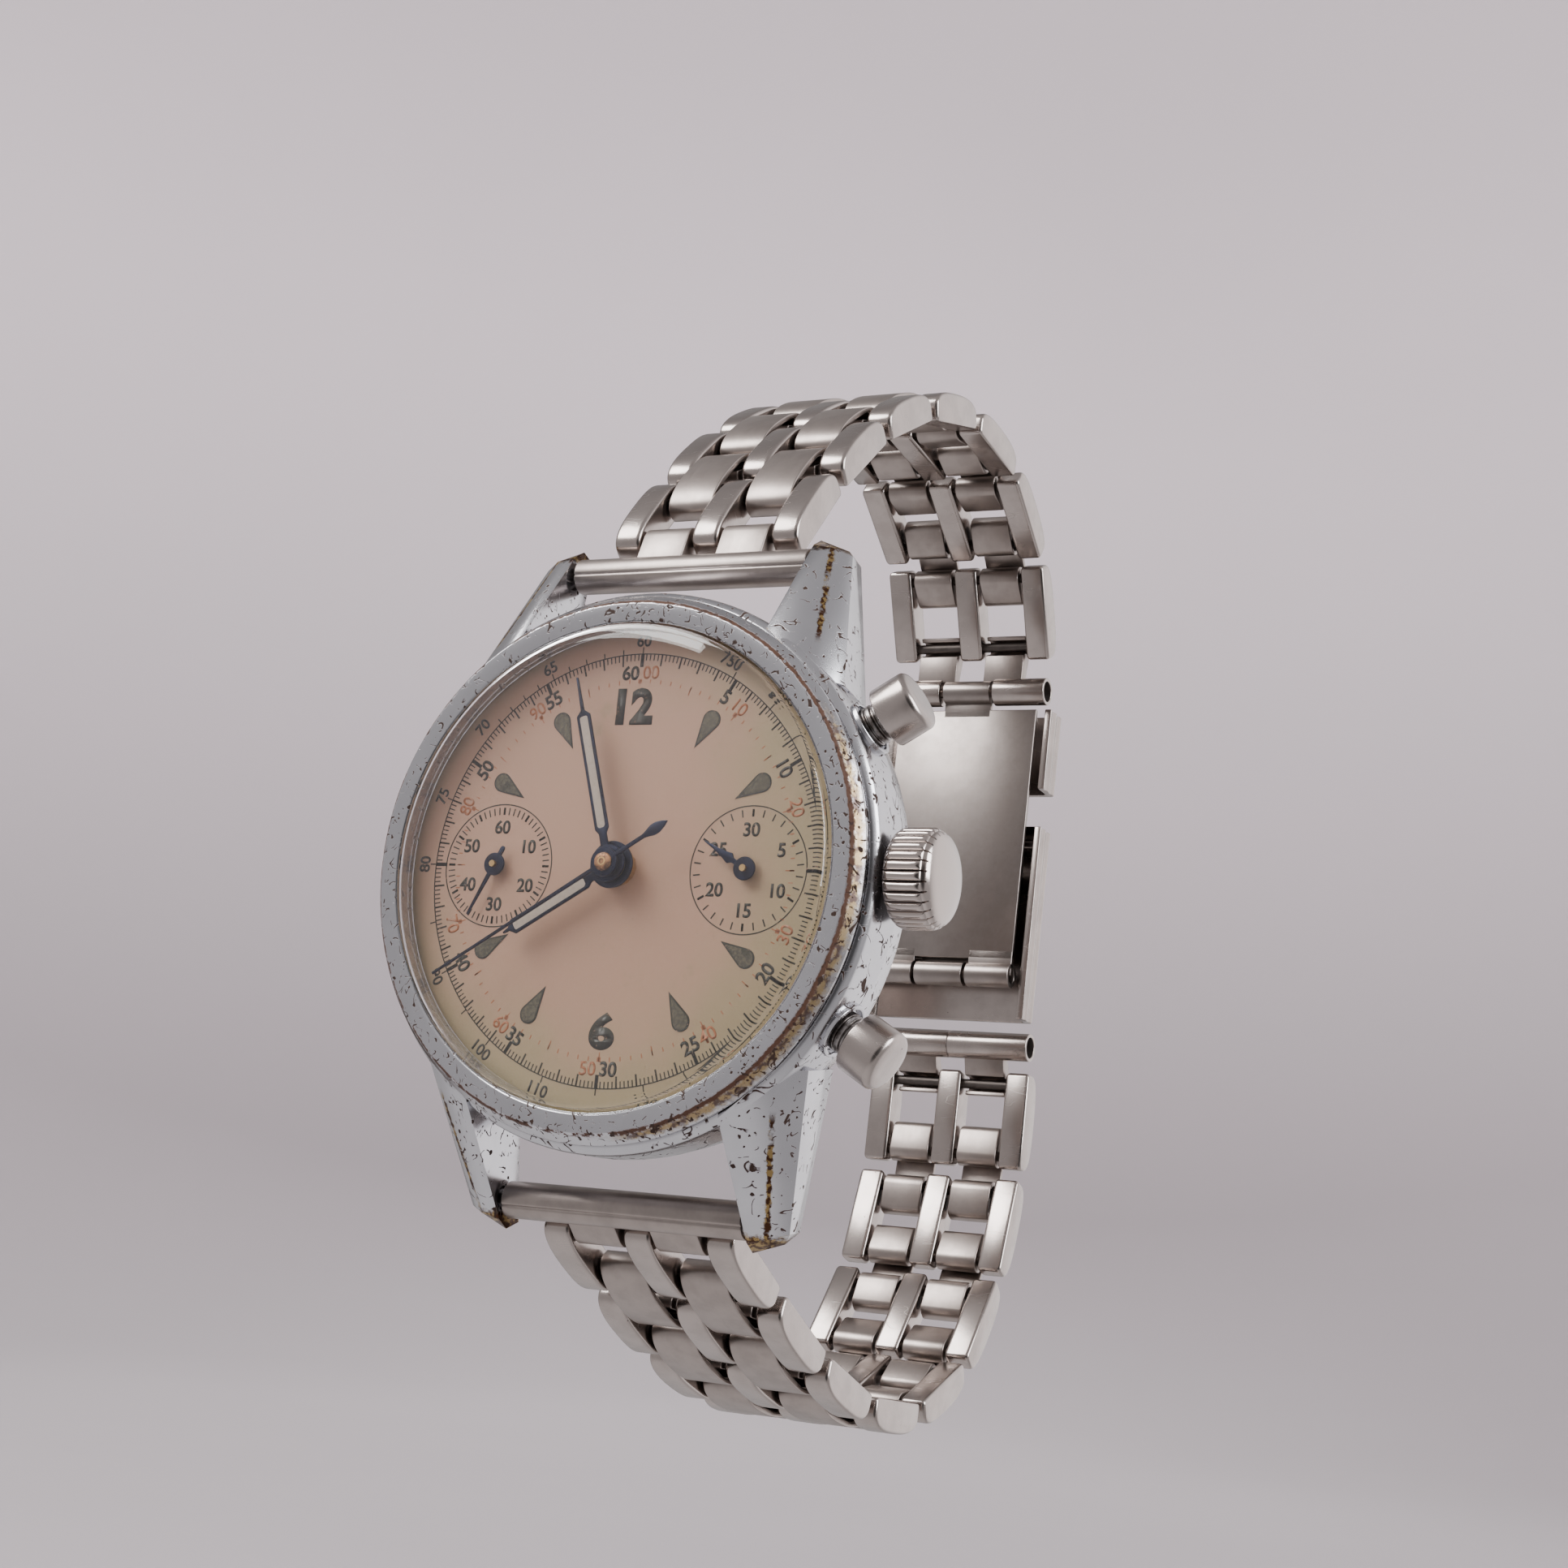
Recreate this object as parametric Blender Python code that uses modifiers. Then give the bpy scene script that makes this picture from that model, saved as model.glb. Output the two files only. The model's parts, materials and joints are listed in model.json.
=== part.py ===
"""Two-register chronograph wristwatch on a brick-link bracelet.

Frame: +X to the crown (3 o'clock), +Z to 12 o'clock, the dial looks along -Y, and the
origin is the middle of the flat of the case back.  The watch itself is laid out in its
own frame (x to 3, y to 12, z out of the dial, dial surface at z = 0) under one empty.
"""
import math

import bmesh
import bpy
from mathutils import Euler, Matrix, Vector

MM = 0.001

# ---- case -----------------------------------------------------------------------------
CASE_RADIUS = 18.0 * MM
CASE_WALL = 1.6 * MM
CASE_BORE = CASE_RADIUS - CASE_WALL
CASE_TOP = 0.75 * MM
CASE_WAIST = -2.9 * MM         # lower edge of the straight flank
CASE_FLOOR = -5.0 * MM
BACK_DEPTH = 2.6 * MM - CASE_FLOOR   # dial surface to the flat of the case back
CASE_FOOT_RADIUS = CASE_RADIUS - 0.45 * MM
LUG_GAP = 18.0 * MM            # clear width between a pair of lugs
LUG_REACH = CASE_RADIUS + 4.9 * MM   # centre to lug tip
LUG_WIDTH = 3.3 * MM
LUG_TIP_TOP = -4.6 * MM
LUG_TIP_BOTTOM = -7.0 * MM
FIT = 0.3 * MM                 # clearance between seated pieces
FINE = 0.2 * MM                # clearance of running fits

# ---- bezel and crystal ----------------------------------------------------------------
BEZEL_FOOT = CASE_RADIUS - 0.55 * MM
BEZEL_RIDGE = CASE_RADIUS - 1.2 * MM
BEZEL_HEIGHT = 2.15 * MM
BEZEL_BORE = CASE_BORE - 0.9 * MM
CRYSTAL_WALL = 0.5 * MM
CRYSTAL_SHOULDER = 2.6 * MM
CRYSTAL_DOME = 1.25 * MM

# ---- dial, hands ----------------------------------------------------------------------
DIAL_THICK = 0.4 * MM
REGISTER_X = 0.5028 * CASE_RADIUS
MINUTE_REACH = BEZEL_BORE - 2.9 * MM
HOUR_REACH = 0.5613 * BEZEL_BORE
CHRONO_REACH = BEZEL_BORE - 1.6 * MM
SMALL_REACH = 3.7 * MM
HAND_THICK = 0.18 * MM
HOUR_LEVEL = 0.95 * MM
MINUTE_LEVEL = 1.42 * MM
CHRONO_LEVEL = 1.88 * MM
SMALL_LEVEL = 0.4 * MM
CHRONO_SHAFT = 0.28 * MM
SMALL_SHAFT = 0.22 * MM
PIPE_WALL = 0.25 * MM
MINUTE_ANGLE = 342.6           # degrees clockwise from 12
HOUR_ANGLE = 238.5
CHRONO_ANGLE = 237.8
SECONDS_ANGLE = 206.2
COUNTER_ANGLE = 300.0

# ---- movement -------------------------------------------------------------------------
MOVEMENT_RADIUS = CASE_BORE - 0.8 * MM
PLATE_TOP = -0.7 * MM
PLATE_BOTTOM = -3.1 * MM
WORKS_RADIUS = 3.6 * MM
WORKS_FLOOR = -1.35 * MM
WHEEL_TOP = -3.4 * MM
WHEEL_THICK = 0.3 * MM
BRIDGE_TOP = -5.2 * MM
BRIDGE_THICK = 0.5 * MM
BRIDGE_RADIUS = CASE_BORE - 2.9 * MM
BACK_WALL = 0.6 * MM

# ---- crown and pushers ----------------------------------------------------------------
STEM_LEVEL = -1.9 * MM
STEM_RADIUS = 0.6 * MM
STEM_INNER_END = CASE_RADIUS - 7.0 * MM
CROWN_RADIUS = 3.1 * MM
CROWN_LENGTH = 2.7 * MM
CROWN_DOME = 0.7 * MM
CROWN_FLUTES = 28
CROWN_STANDOFF = 0.4 * MM
PUSHER_ANGLE = 31.0            # degrees from the crown line
PUSHER_STEM = 1.3 * MM
PUSHER_CAP = 1.95 * MM
PUSHER_CAP_LENGTH = 2.6 * MM
PUSHER_TRAVEL = 0.8 * MM
PUSHER_COLLAR = 0.25 * MM      # how far the fixed collar stands off the flank

# ---- bracelet -------------------------------------------------------------------------
BAR_SPAN = LUG_REACH - 1.9 * MM  # dial centre to spring-bar axis
BAR_LEVEL = -5.3 * MM
SPRING_BAR_RADIUS = 0.6 * MM
SPRING_BAR_TIP = 0.4 * MM
SPRING_BAR_REACH = 0.9 * MM    # how far a tip enters its lug
END_TUBE_RADIUS = 1.2 * MM
PIN_RADIUS = 0.4 * MM
OUTER_WIDTH = 2.0 * MM         # one A plate
INNER_WIDTH = 3.44 * MM        # one B plate
SIDE_GAP = 0.28 * MM
A_PITCH = 5.85 * MM            # pin to pin on an A row
B_PITCH = 3.1 * MM             # pin to pin on a B row
A_LENGTH = 7.95 * MM
B_LENGTH = 7.9 * MM
LINK_RISE = 1.45 * MM          # pin axis to the top of a link
LINK_DROP = 0.95 * MM          # pin axis to the inner face of a link
SHEET = 0.45 * MM              # sheet that the B links are folded from
UPPER_TAB = 3.3 * MM
UPPER_TAB_HEADING = 57.0
UPPER_HEADINGS = (50.0, 42.0, 30.0, 15.0, -7.0, -35.0, -66.0)
UPPER_END = 4.0 * MM
UPPER_END_HEADING = -93.0
LOWER_TAB = 2.9 * MM
LOWER_TAB_HEADING = -29.0
LOWER_HEADINGS = (-29.0, -27.0, -19.0, -4.0, 21.0, 50.0, 70.0, 87.0)
LOWER_END = 3.3 * MM
LOWER_END_HEADING = 108.0

# ---- clasp ----------------------------------------------------------------------------
CLASP_HEADING = -93.5
CLASP_HALF = 7.3 * MM
CLASP_PLATE = 0.6 * MM
CLASP_TOP = 3.4 * MM           # hinge plane to the outer face of the covers
CLASP_TUBE = 1.15 * MM
SHORT_COVER_START = 1.35 * MM
SHORT_COVER_LENGTH = 6.9 * MM
COVER_SPLIT = 3.2 * MM         # space between the two covers
BLADE_HALF = 6.2 * MM
BLADE_THICK = 0.45 * MM
BLADE_LENGTH = 24.2 * MM
KNUCKLE = 1.0 * MM
KNUCKLE_HALF = 2.1 * MM
COVER_PIVOT_GAP = 0.7 * MM     # opened pivot between the long cover and the lower link

COLOURS = {
    "chrome": ((0.72, 0.72, 0.74), 0.22, 1.0),
    "steel": ((0.62, 0.59, 0.58), 0.25, 1.0),
    "brass": ((0.62, 0.45, 0.20), 0.35, 1.0),
    "dial": ((0.72, 0.52, 0.40), 0.60, 0.0),
    "crystal": ((0.92, 0.93, 0.90), 0.05, 0.0),
    "blued": ((0.05, 0.07, 0.12), 0.30, 1.0),
}

for old in list(bpy.data.objects):
    bpy.data.objects.remove(old, do_unlink=True)

parts = bpy.data.collections.new("chronograph")
tools = bpy.data.collections.new("cutters")
bpy.context.scene.collection.children.link(parts)
bpy.context.scene.collection.children.link(tools)


# ---- helpers --------------------------------------------------------------------------
def finish(name, kind):
    """A Principled material for one piece."""
    colour, rough, metal = COLOURS[kind]
    made = bpy.data.materials.new(name + "_finish")
    made.use_nodes = True
    shader = made.node_tree.nodes["Principled BSDF"]
    shader.inputs["Base Color"].default_value = (*colour, 1.0)
    shader.inputs["Roughness"].default_value = rough
    shader.inputs["Metallic"].default_value = metal
    made.diffuse_color = (*colour, 1.0)
    return made


def place(name, mesh, kind, parent=None, location=(0, 0, 0), turn=(0, 0, 0), smooth=True):
    """A finished piece: one mesh, one object, one material."""
    piece = bpy.data.objects.new(name, mesh)
    parts.objects.link(piece)
    piece.parent = parent
    piece.location = location
    piece.rotation_euler = turn
    if not mesh.materials:
        mesh.materials.append(None)
    piece.material_slots[0].link = "OBJECT"
    piece.material_slots[0].material = finish(name, kind)
    if smooth:
        mesh.shade_smooth()
        mesh.set_sharp_from_angle(angle=math.radians(35))
    return piece


def guide(name, data):
    """An operand of a Boolean: kept out of the model."""
    tool = bpy.data.objects.new(name, data)
    tools.objects.link(tool)
    tool.hide_render = True
    tool.display_type = "WIRE"
    return tool


def solid_mesh(maker):
    """The evaluated mesh of a guide, welded; the guide is removed."""
    deps = bpy.context.evaluated_depsgraph_get()
    mesh = bpy.data.meshes.new_from_object(maker.evaluated_get(deps))
    work = bmesh.new()
    work.from_mesh(mesh)
    bmesh.ops.remove_doubles(work, verts=work.verts, dist=1e-6)
    work.to_mesh(mesh)
    work.free()
    mesh.transform(maker.matrix_world)
    mesh.materials.clear()
    bpy.data.objects.remove(maker, do_unlink=True)
    return mesh


def lathe(name, profile, steps=48):
    """Turn a profile of (radius, height) about z: outer side first, top to bottom."""
    work = bmesh.new()
    points = [work.verts.new((radius, 0, height)) for radius, height in profile]
    closed = profile[0][0] > 0 and profile[-1][0] > 0
    for first, second in zip(points, points[1:]):
        work.edges.new((first, second))
    if closed:
        work.edges.new((points[-1], points[0]))
    mesh = bpy.data.meshes.new(name)
    work.to_mesh(mesh)
    work.free()
    maker = guide(name, mesh)
    screw = maker.modifiers.new("turn", "SCREW")
    screw.steps = steps
    screw.render_steps = steps
    screw.use_merge_vertices = True
    screw.merge_threshold = 1e-6
    bpy.context.view_layer.update()
    return solid_mesh(maker)


def plate(name, outlines, low, high):
    """A flat piece from closed outlines (the first is the edge, the others holes)."""
    curve = bpy.data.curves.new(name, "CURVE")
    curve.dimensions = "2D"
    curve.fill_mode = "BOTH"
    curve.extrude = (high - low) / 2
    for outline in outlines:
        spline = curve.splines.new("POLY")
        spline.points.add(len(outline) - 1)
        for point, (x, y) in zip(spline.points, outline):
            point.co = (x, y, 0, 1)
        spline.use_cyclic_u = True
    maker = guide(name, curve)
    maker.location = (0, 0, (low + high) / 2)
    bpy.context.view_layer.update()
    return solid_mesh(maker)


def ring(radius, count, centre=(0, 0), start=0.0):
    """Points of a circle."""
    spots = []
    for index in range(count):
        angle = start + 2 * math.pi * index / count
        spots.append((centre[0] + radius * math.cos(angle), centre[1] + radius * math.sin(angle)))
    return spots


def rod(radius, low, high, steps=12, centre=(0, 0)):
    """A round bar along z."""
    work = bmesh.new()
    matrix = Matrix.Translation((centre[0], centre[1], (low + high) / 2))
    bmesh.ops.create_cone(work, cap_ends=True, segments=steps, radius1=radius, radius2=radius,
                          depth=high - low, matrix=matrix)
    mesh = bpy.data.meshes.new("rod")
    work.to_mesh(mesh)
    work.free()
    return mesh


def block(low, high):
    """A rectangular bar between two corners."""
    work = bmesh.new()
    size = [b - a for a, b in zip(low, high)]
    middle = [(a + b) / 2 for a, b in zip(low, high)]
    bmesh.ops.create_cube(work, size=1.0, matrix=Matrix.LocRotScale(middle, None, size))
    mesh = bpy.data.meshes.new("block")
    work.to_mesh(mesh)
    work.free()
    return mesh


def hull(points):
    """The convex solid around a set of points."""
    work = bmesh.new()
    for point in points:
        work.verts.new(point)
    made = bmesh.ops.convex_hull(work, input=work.verts)
    loose = [item for item in made["geom_interior"] if isinstance(item, bmesh.types.BMVert)]
    bmesh.ops.delete(work, geom=loose, context="VERTS")
    bmesh.ops.recalc_face_normals(work, faces=work.faces)
    mesh = bpy.data.meshes.new("hull")
    work.to_mesh(mesh)
    work.free()
    return mesh


def sideways(mesh):
    """Turn a mesh made along z so that it runs along x (its y stays, x goes to z)."""
    mesh.transform(Matrix(((0, 0, 1, 0), (1, 0, 0, 0), (0, 1, 0, 0), (0, 0, 0, 1))))
    return mesh


def combine(name, base, joined=(), cut=()):
    """Union and difference of meshes, in that order, with the exact solver."""
    target = guide(name, base)
    bpy.context.view_layer.update()
    for operation, meshes in (("UNION", joined), ("DIFFERENCE", cut)):
        for index, mesh in enumerate(meshes):
            tool = guide(name + "_tool", mesh)
            change = target.modifiers.new(operation.lower() + str(index), "BOOLEAN")
            change.operation = operation
            change.solver = "EXACT"
            change.object = tool
    bpy.context.view_layer.update()
    used = [change.object for change in target.modifiers]
    mesh = solid_mesh(target)
    for tool in used:
        bpy.data.objects.remove(tool, do_unlink=True)
    return mesh


watch = bpy.data.objects.new("watch_frame", None)
parts.objects.link(watch)
watch.location = (0, -BACK_DEPTH, 0)
watch.rotation_euler = (math.pi / 2, 0, 0)


# ---- case -----------------------------------------------------------------------------
def lug(side, end):
    """One lug: a facetted horn from the flank to its tip."""
    inner = LUG_GAP / 2
    outer = inner + LUG_WIDTH
    root = CASE_RADIUS - 3.2 * MM
    tip = LUG_REACH
    points = [
        (inner, root - 3.0 * MM, CASE_TOP), (inner, root + 0.4 * MM, CASE_TOP),
        (inner, tip - 0.6 * MM, LUG_TIP_TOP), (inner, tip, LUG_TIP_TOP - 1.0 * MM),
        (inner, tip - 0.5 * MM, LUG_TIP_BOTTOM), (inner, root - 3.0 * MM, CASE_FLOOR),
        (outer + 0.2 * MM, root - 2.7 * MM, CASE_TOP),
        (outer - 1.9 * MM, tip - 0.9 * MM, LUG_TIP_TOP),
        (outer + 1.5 * MM, root - 2.9 * MM, CASE_TOP - 1.9 * MM),
        (outer - 0.75 * MM, tip - 1.3 * MM, LUG_TIP_TOP - 0.7 * MM),
        (outer - 1.4 * MM, tip - 0.7 * MM, LUG_TIP_TOP - 1.5 * MM),
        (outer + 1.3 * MM, root - 3.4 * MM, CASE_FLOOR),
        (outer - 0.9 * MM, tip - 1.5 * MM, LUG_TIP_BOTTOM),
    ]
    return hull([(side * x, end * y, z) for x, y, z in points])


def radial(mesh, angle, level):
    """Lay a z bar along a radius of the case at an angle from the crown line."""
    mesh.transform(Matrix.Translation((0, 0, level)) @ Matrix.Rotation(math.radians(angle), 4, "Z")
                   @ Matrix.Rotation(math.pi / 2, 4, "Y"))
    return mesh


case_outer = lathe("case_outer", [
    (0, CASE_TOP), (CASE_FOOT_RADIUS, CASE_TOP), (CASE_RADIUS - 0.1 * MM, CASE_TOP - 0.5 * MM),
    (CASE_RADIUS, CASE_TOP - 1.0 * MM), (CASE_RADIUS, CASE_WAIST),
    (CASE_RADIUS - 0.4 * MM, CASE_FLOOR), (0, CASE_FLOOR)])
case_bore = lathe("case_bore", [
    (0, CASE_TOP + 1 * MM), (CASE_BORE, CASE_TOP + 1 * MM), (CASE_BORE, CASE_FLOOR - 3 * MM),
    (0, CASE_FLOOR - 3 * MM)])
back_room = rod(CASE_RADIUS - 0.7 * MM + FINE, CASE_FLOOR - 4 * MM, CASE_FLOOR, 48)
collars = [radial(rod(PUSHER_CAP - 0.1 * MM, CASE_BORE + 0.4 * MM, CASE_RADIUS + PUSHER_COLLAR, 20),
                  side * PUSHER_ANGLE, STEM_LEVEL) for side in (1, -1)]
collars.append(radial(rod(1.5 * MM, CASE_BORE + 0.4 * MM, CASE_RADIUS + PUSHER_COLLAR, 16),
                      0, STEM_LEVEL))
bores = [radial(rod(PUSHER_STEM + FINE, CASE_BORE - 2 * MM, CASE_RADIUS + 3 * MM, 20),
                side * PUSHER_ANGLE, STEM_LEVEL) for side in (1, -1)]
bores.append(radial(rod(STEM_RADIUS + FINE, CASE_BORE - 2 * MM, CASE_RADIUS + 3 * MM, 12),
                    0, STEM_LEVEL))
for end in (1, -1):
    for side in (1, -1):
        hole = sideways(rod(SPRING_BAR_TIP + FINE, LUG_GAP / 2 - 0.5 * MM,
                            LUG_GAP / 2 + SPRING_BAR_REACH + FIT, 8))
        hole.transform(Matrix.Scale(side, 4, (1, 0, 0)))
        if side < 0:
            hole.flip_normals()
        hole.transform(Matrix.Translation((0, end * BAR_SPAN, BAR_LEVEL)))
        bores.append(hole)
lugs = [lug(side, end) for side in (1, -1) for end in (1, -1)]
case_mesh = combine("case_body", case_outer, lugs + collars, [case_bore, back_room] + bores)
place("case_body", case_mesh, "chrome", watch)

bezel_mesh = lathe("bezel", [
    (BEZEL_BORE + 0.12 * MM, BEZEL_HEIGHT - 0.08 * MM), (BEZEL_BORE + 0.25 * MM, BEZEL_HEIGHT),
    (BEZEL_RIDGE, BEZEL_HEIGHT), (BEZEL_FOOT, CASE_TOP + FINE + 0.25 * MM),
    (BEZEL_FOOT, CASE_TOP + FINE), (CASE_BORE - FINE, CASE_TOP + FINE),
    (CASE_BORE - FINE, CASE_TOP + FINE - 0.55 * MM), (BEZEL_BORE, CASE_TOP + FINE - 0.55 * MM)], 48)
place("bezel", bezel_mesh, "chrome", watch)

crystal_radius = BEZEL_BORE - 0.15 * MM
crystal_foot = CASE_TOP + FINE - 0.4 * MM


def dome(radius, shoulder, rise, count):
    """Points of a shallow dome from its middle out to its edge."""
    spots = []
    for index in range(count):
        share = index / (count - 1)
        spots.append((radius * share, shoulder + rise * (1 - share ** 2)))
    return spots


crystal_profile = dome(crystal_radius - 0.35 * MM, CRYSTAL_SHOULDER, CRYSTAL_DOME, 4)
crystal_profile += [(crystal_radius, CRYSTAL_SHOULDER - 0.35 * MM), (crystal_radius, crystal_foot),
                    (crystal_radius - CRYSTAL_WALL, crystal_foot)]
crystal_profile += list(reversed(dome(crystal_radius - CRYSTAL_WALL,
                                      CRYSTAL_SHOULDER - CRYSTAL_WALL, CRYSTAL_DOME, 4)))
place("crystal", lathe("crystal", crystal_profile, 36), "crystal", watch)

back_mesh = lathe("case_back", [
    (0, -BACK_DEPTH + BACK_WALL), (CASE_RADIUS - 3.9 * MM, -BACK_DEPTH + BACK_WALL),
    (CASE_BORE - FIT - 0.6 * MM, CASE_FLOOR - 0.8 * MM),
    (CASE_BORE - FIT - 0.6 * MM, CASE_FLOOR + 0.6 * MM), (CASE_BORE - FIT, CASE_FLOOR + 0.6 * MM),
    (CASE_BORE - FIT, CASE_FLOOR - FINE), (CASE_RADIUS - 0.7 * MM, CASE_FLOOR - FINE),
    (CASE_RADIUS - 0.8 * MM, CASE_FLOOR - 0.9 * MM), (CASE_RADIUS - 3.6 * MM, -BACK_DEPTH),
    (0, -BACK_DEPTH)], 40)
place("case_back", back_mesh, "steel", watch)

# ---- dial and movement ----------------------------------------------------------------
pipe_bore = CHRONO_SHAFT + FINE
minute_pipe = pipe_bore + PIPE_WALL
hour_bore = minute_pipe + FINE
hour_pipe = hour_bore + PIPE_WALL
small_hole = SMALL_SHAFT + FIT
dial_holes = [ring(hour_pipe + FIT, 16), ring(small_hole, 8, (REGISTER_X, 0)),
              ring(small_hole, 8, (-REGISTER_X, 0))]
dial_mesh = plate("dial", [ring(CASE_BORE - FIT, 48)] + dial_holes, -DIAL_THICK, 0)
place("dial", dial_mesh, "dial", watch)

plate_mesh = plate("main_plate", [ring(MOVEMENT_RADIUS, 40), ring(CHRONO_SHAFT + FINE, 8),
                                  ring(SMALL_SHAFT + FINE, 8, (REGISTER_X, 0)),
                                  ring(SMALL_SHAFT + FINE, 8, (-REGISTER_X, 0))],
                   PLATE_BOTTOM, PLATE_TOP)
works = rod(WORKS_RADIUS, WORKS_FLOOR, PLATE_TOP + 1 * MM, 20)
slot = radial(rod(STEM_RADIUS + FINE, STEM_INNER_END - FIT, MOVEMENT_RADIUS + 2 * MM, 12),
              0, STEM_LEVEL)
place("main_plate", combine("main_plate", plate_mesh, (), (works, slot)), "brass", watch)


def toothed(radius, count, depth):
    """The outline of a wheel with pointed teeth."""
    spots = []
    for index in range(2 * count):
        reach = radius if index % 2 == 0 else radius - depth
        angle = math.pi * index / count
        spots.append((reach * math.cos(angle), reach * math.sin(angle)))
    return spots


def arbor_wheel(name, radius, teeth, shaft, tip, centre, kind="brass"):
    """A toothed wheel with its shaft, on its own axis."""
    wheel = plate(name, [toothed(radius, teeth, 0.3 * MM)], WHEEL_TOP - WHEEL_THICK, WHEEL_TOP)
    mesh = combine(name, wheel, [rod(shaft, WHEEL_TOP - 1.2 * MM, tip, 8)])
    return place(name, mesh, kind, watch, (centre, 0, 0))


arbor_wheel("chrono_wheel", 4.6 * MM, 30, CHRONO_SHAFT, CHRONO_LEVEL + 0.45 * MM, 0)
arbor_wheel("seconds_wheel", 2.6 * MM, 18, SMALL_SHAFT, SMALL_LEVEL + 0.4 * MM, -REGISTER_X)
arbor_wheel("counter_wheel", 2.6 * MM, 18, SMALL_SHAFT, SMALL_LEVEL + 0.4 * MM, REGISTER_X)

hour_wheel = plate("hour_wheel", [toothed(WORKS_RADIUS - 0.4 * MM, 20, 0.3 * MM),
                                  ring(hour_bore, 12)],
                   PLATE_TOP - 0.3 * MM, PLATE_TOP)
hour_tube = plate("hour_tube", [ring(hour_pipe, 12), ring(hour_bore, 12)],
                  PLATE_TOP - 0.15 * MM, HOUR_LEVEL + HAND_THICK)
place("hour_wheel", combine("hour_wheel", hour_wheel, [hour_tube]), "brass", watch)

barrel_mesh = lathe("mainspring_barrel", [
    (0, WHEEL_TOP), (0.6 * MM, WHEEL_TOP), (0.6 * MM, WHEEL_TOP - 0.2 * MM),
    (3.9 * MM, WHEEL_TOP - 0.2 * MM), (3.9 * MM, WHEEL_TOP - 1.2 * MM),
    (0.6 * MM, WHEEL_TOP - 1.2 * MM), (0.6 * MM, WHEEL_TOP - 1.4 * MM), (0, WHEEL_TOP - 1.4 * MM)],
    24)
place("mainspring_barrel", barrel_mesh, "brass", watch,
      (-0.4074 * BRIDGE_RADIUS, 0.5926 * BRIDGE_RADIUS, 0))


def annulus_half(outer, inner, half_arm, sign):
    """One of the two openings of a balance wheel, beside its arm."""
    start = math.asin(half_arm / inner)
    spots = []
    for index in range(9):
        angle = start + (math.pi - 2 * start) * index / 8
        spots.append((inner * math.cos(angle), sign * inner * math.sin(angle)))
    return spots


balance_low = WHEEL_TOP - 1.05 * MM
balance = plate("balance_wheel", [ring(4.0 * MM, 24), annulus_half(4.0 * MM, 3.3 * MM, 0.4 * MM, 1),
                                  annulus_half(4.0 * MM, 3.3 * MM, 0.4 * MM, -1)],
                balance_low, balance_low + 0.5 * MM)
staff = rod(0.35 * MM, BRIDGE_TOP + FINE, WHEEL_TOP, 8)
place("balance_wheel", combine("balance_wheel", balance, [staff]), "brass", watch,
      (0.2593 * BRIDGE_RADIUS, -0.7037 * BRIDGE_RADIUS, 0))

bridge = plate("movement_bridge", [ring(BRIDGE_RADIUS, 32)], BRIDGE_TOP - BRIDGE_THICK, BRIDGE_TOP)
pillars = []
for clock in (35, 95, 205, 250):
    reach = BRIDGE_RADIUS - 2.0 * MM
    spot = (reach * math.cos(math.radians(clock)), reach * math.sin(math.radians(clock)))
    pillars.append(rod(1.0 * MM, BRIDGE_TOP - 0.2 * MM, PLATE_BOTTOM - FINE, 10, spot))
place("movement_bridge", combine("movement_bridge", bridge, pillars), "brass", watch)


# ---- hands ----------------------------------------------------------------------------
def hand_mesh(name, outline, level, hub, bore):
    """A flat hand with a round hub about its axis; y is its pointing direction."""
    blade = plate(name, [outline], level, level + HAND_THICK)
    boss = rod(hub, level - 0.02 * MM, level + HAND_THICK + 0.02 * MM, 16)
    eye = rod(bore, level - 1 * MM, level + 1 * MM, 12)
    return combine(name, blade, [boss], [eye])


def baton(body_start, body_end, half, reach, tip_half):
    """Outline of a straight hand: wide body, then a fine point."""
    return [(-tip_half, 0), (tip_half, 0), (tip_half, body_start), (half, body_start + 0.2 * MM),
            (half, body_end), (tip_half, body_end + 0.25 * MM), (0.3 * tip_half, reach),
            (-0.3 * tip_half, reach), (-tip_half, body_end + 0.25 * MM), (-half, body_end),
            (-half, body_start + 0.2 * MM), (-tip_half, body_start)]


def turned(angle):
    """Rotation of a hand that points to a clock angle."""
    return (0, 0, -math.radians(angle))


hour_hand = hand_mesh("hour_hand", baton(2.0 * MM, 7.8 * MM, 0.5 * MM, HOUR_REACH, 0.2 * MM),
                      HOUR_LEVEL, hour_pipe + 0.45 * MM, hour_pipe + 0.08 * MM)
place("hour_hand", hour_hand, "blued", watch, turn=turned(HOUR_ANGLE))

minute_blade = hand_mesh("minute_hand", baton(2.3 * MM, 9.9 * MM, 0.48 * MM, MINUTE_REACH, 0.2 * MM),
                         MINUTE_LEVEL, hour_pipe, pipe_bore)
minute_tube = plate("minute_tube", [ring(minute_pipe, 12), ring(pipe_bore, 12)],
                    PLATE_TOP - 0.3 * MM, MINUTE_LEVEL + 0.05 * MM)
place("minute_hand", combine("minute_hand", minute_tube, [minute_blade]), "blued", watch,
      turn=turned(MINUTE_ANGLE))

chrono_outline = [(-0.12 * MM, 0), (-0.12 * MM, -3.2 * MM), (-0.36 * MM, -4.0 * MM),
                  (0, -5.0 * MM), (0.36 * MM, -4.0 * MM), (0.12 * MM, -3.2 * MM), (0.12 * MM, 0),
                  (0.09 * MM, CHRONO_REACH), (-0.09 * MM, CHRONO_REACH)]
chrono_hand = hand_mesh("chrono_hand", chrono_outline, CHRONO_LEVEL, 0.95 * MM,
                        CHRONO_SHAFT + 0.08 * MM)
place("chrono_hand", chrono_hand, "blued", watch, turn=turned(CHRONO_ANGLE))

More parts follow.
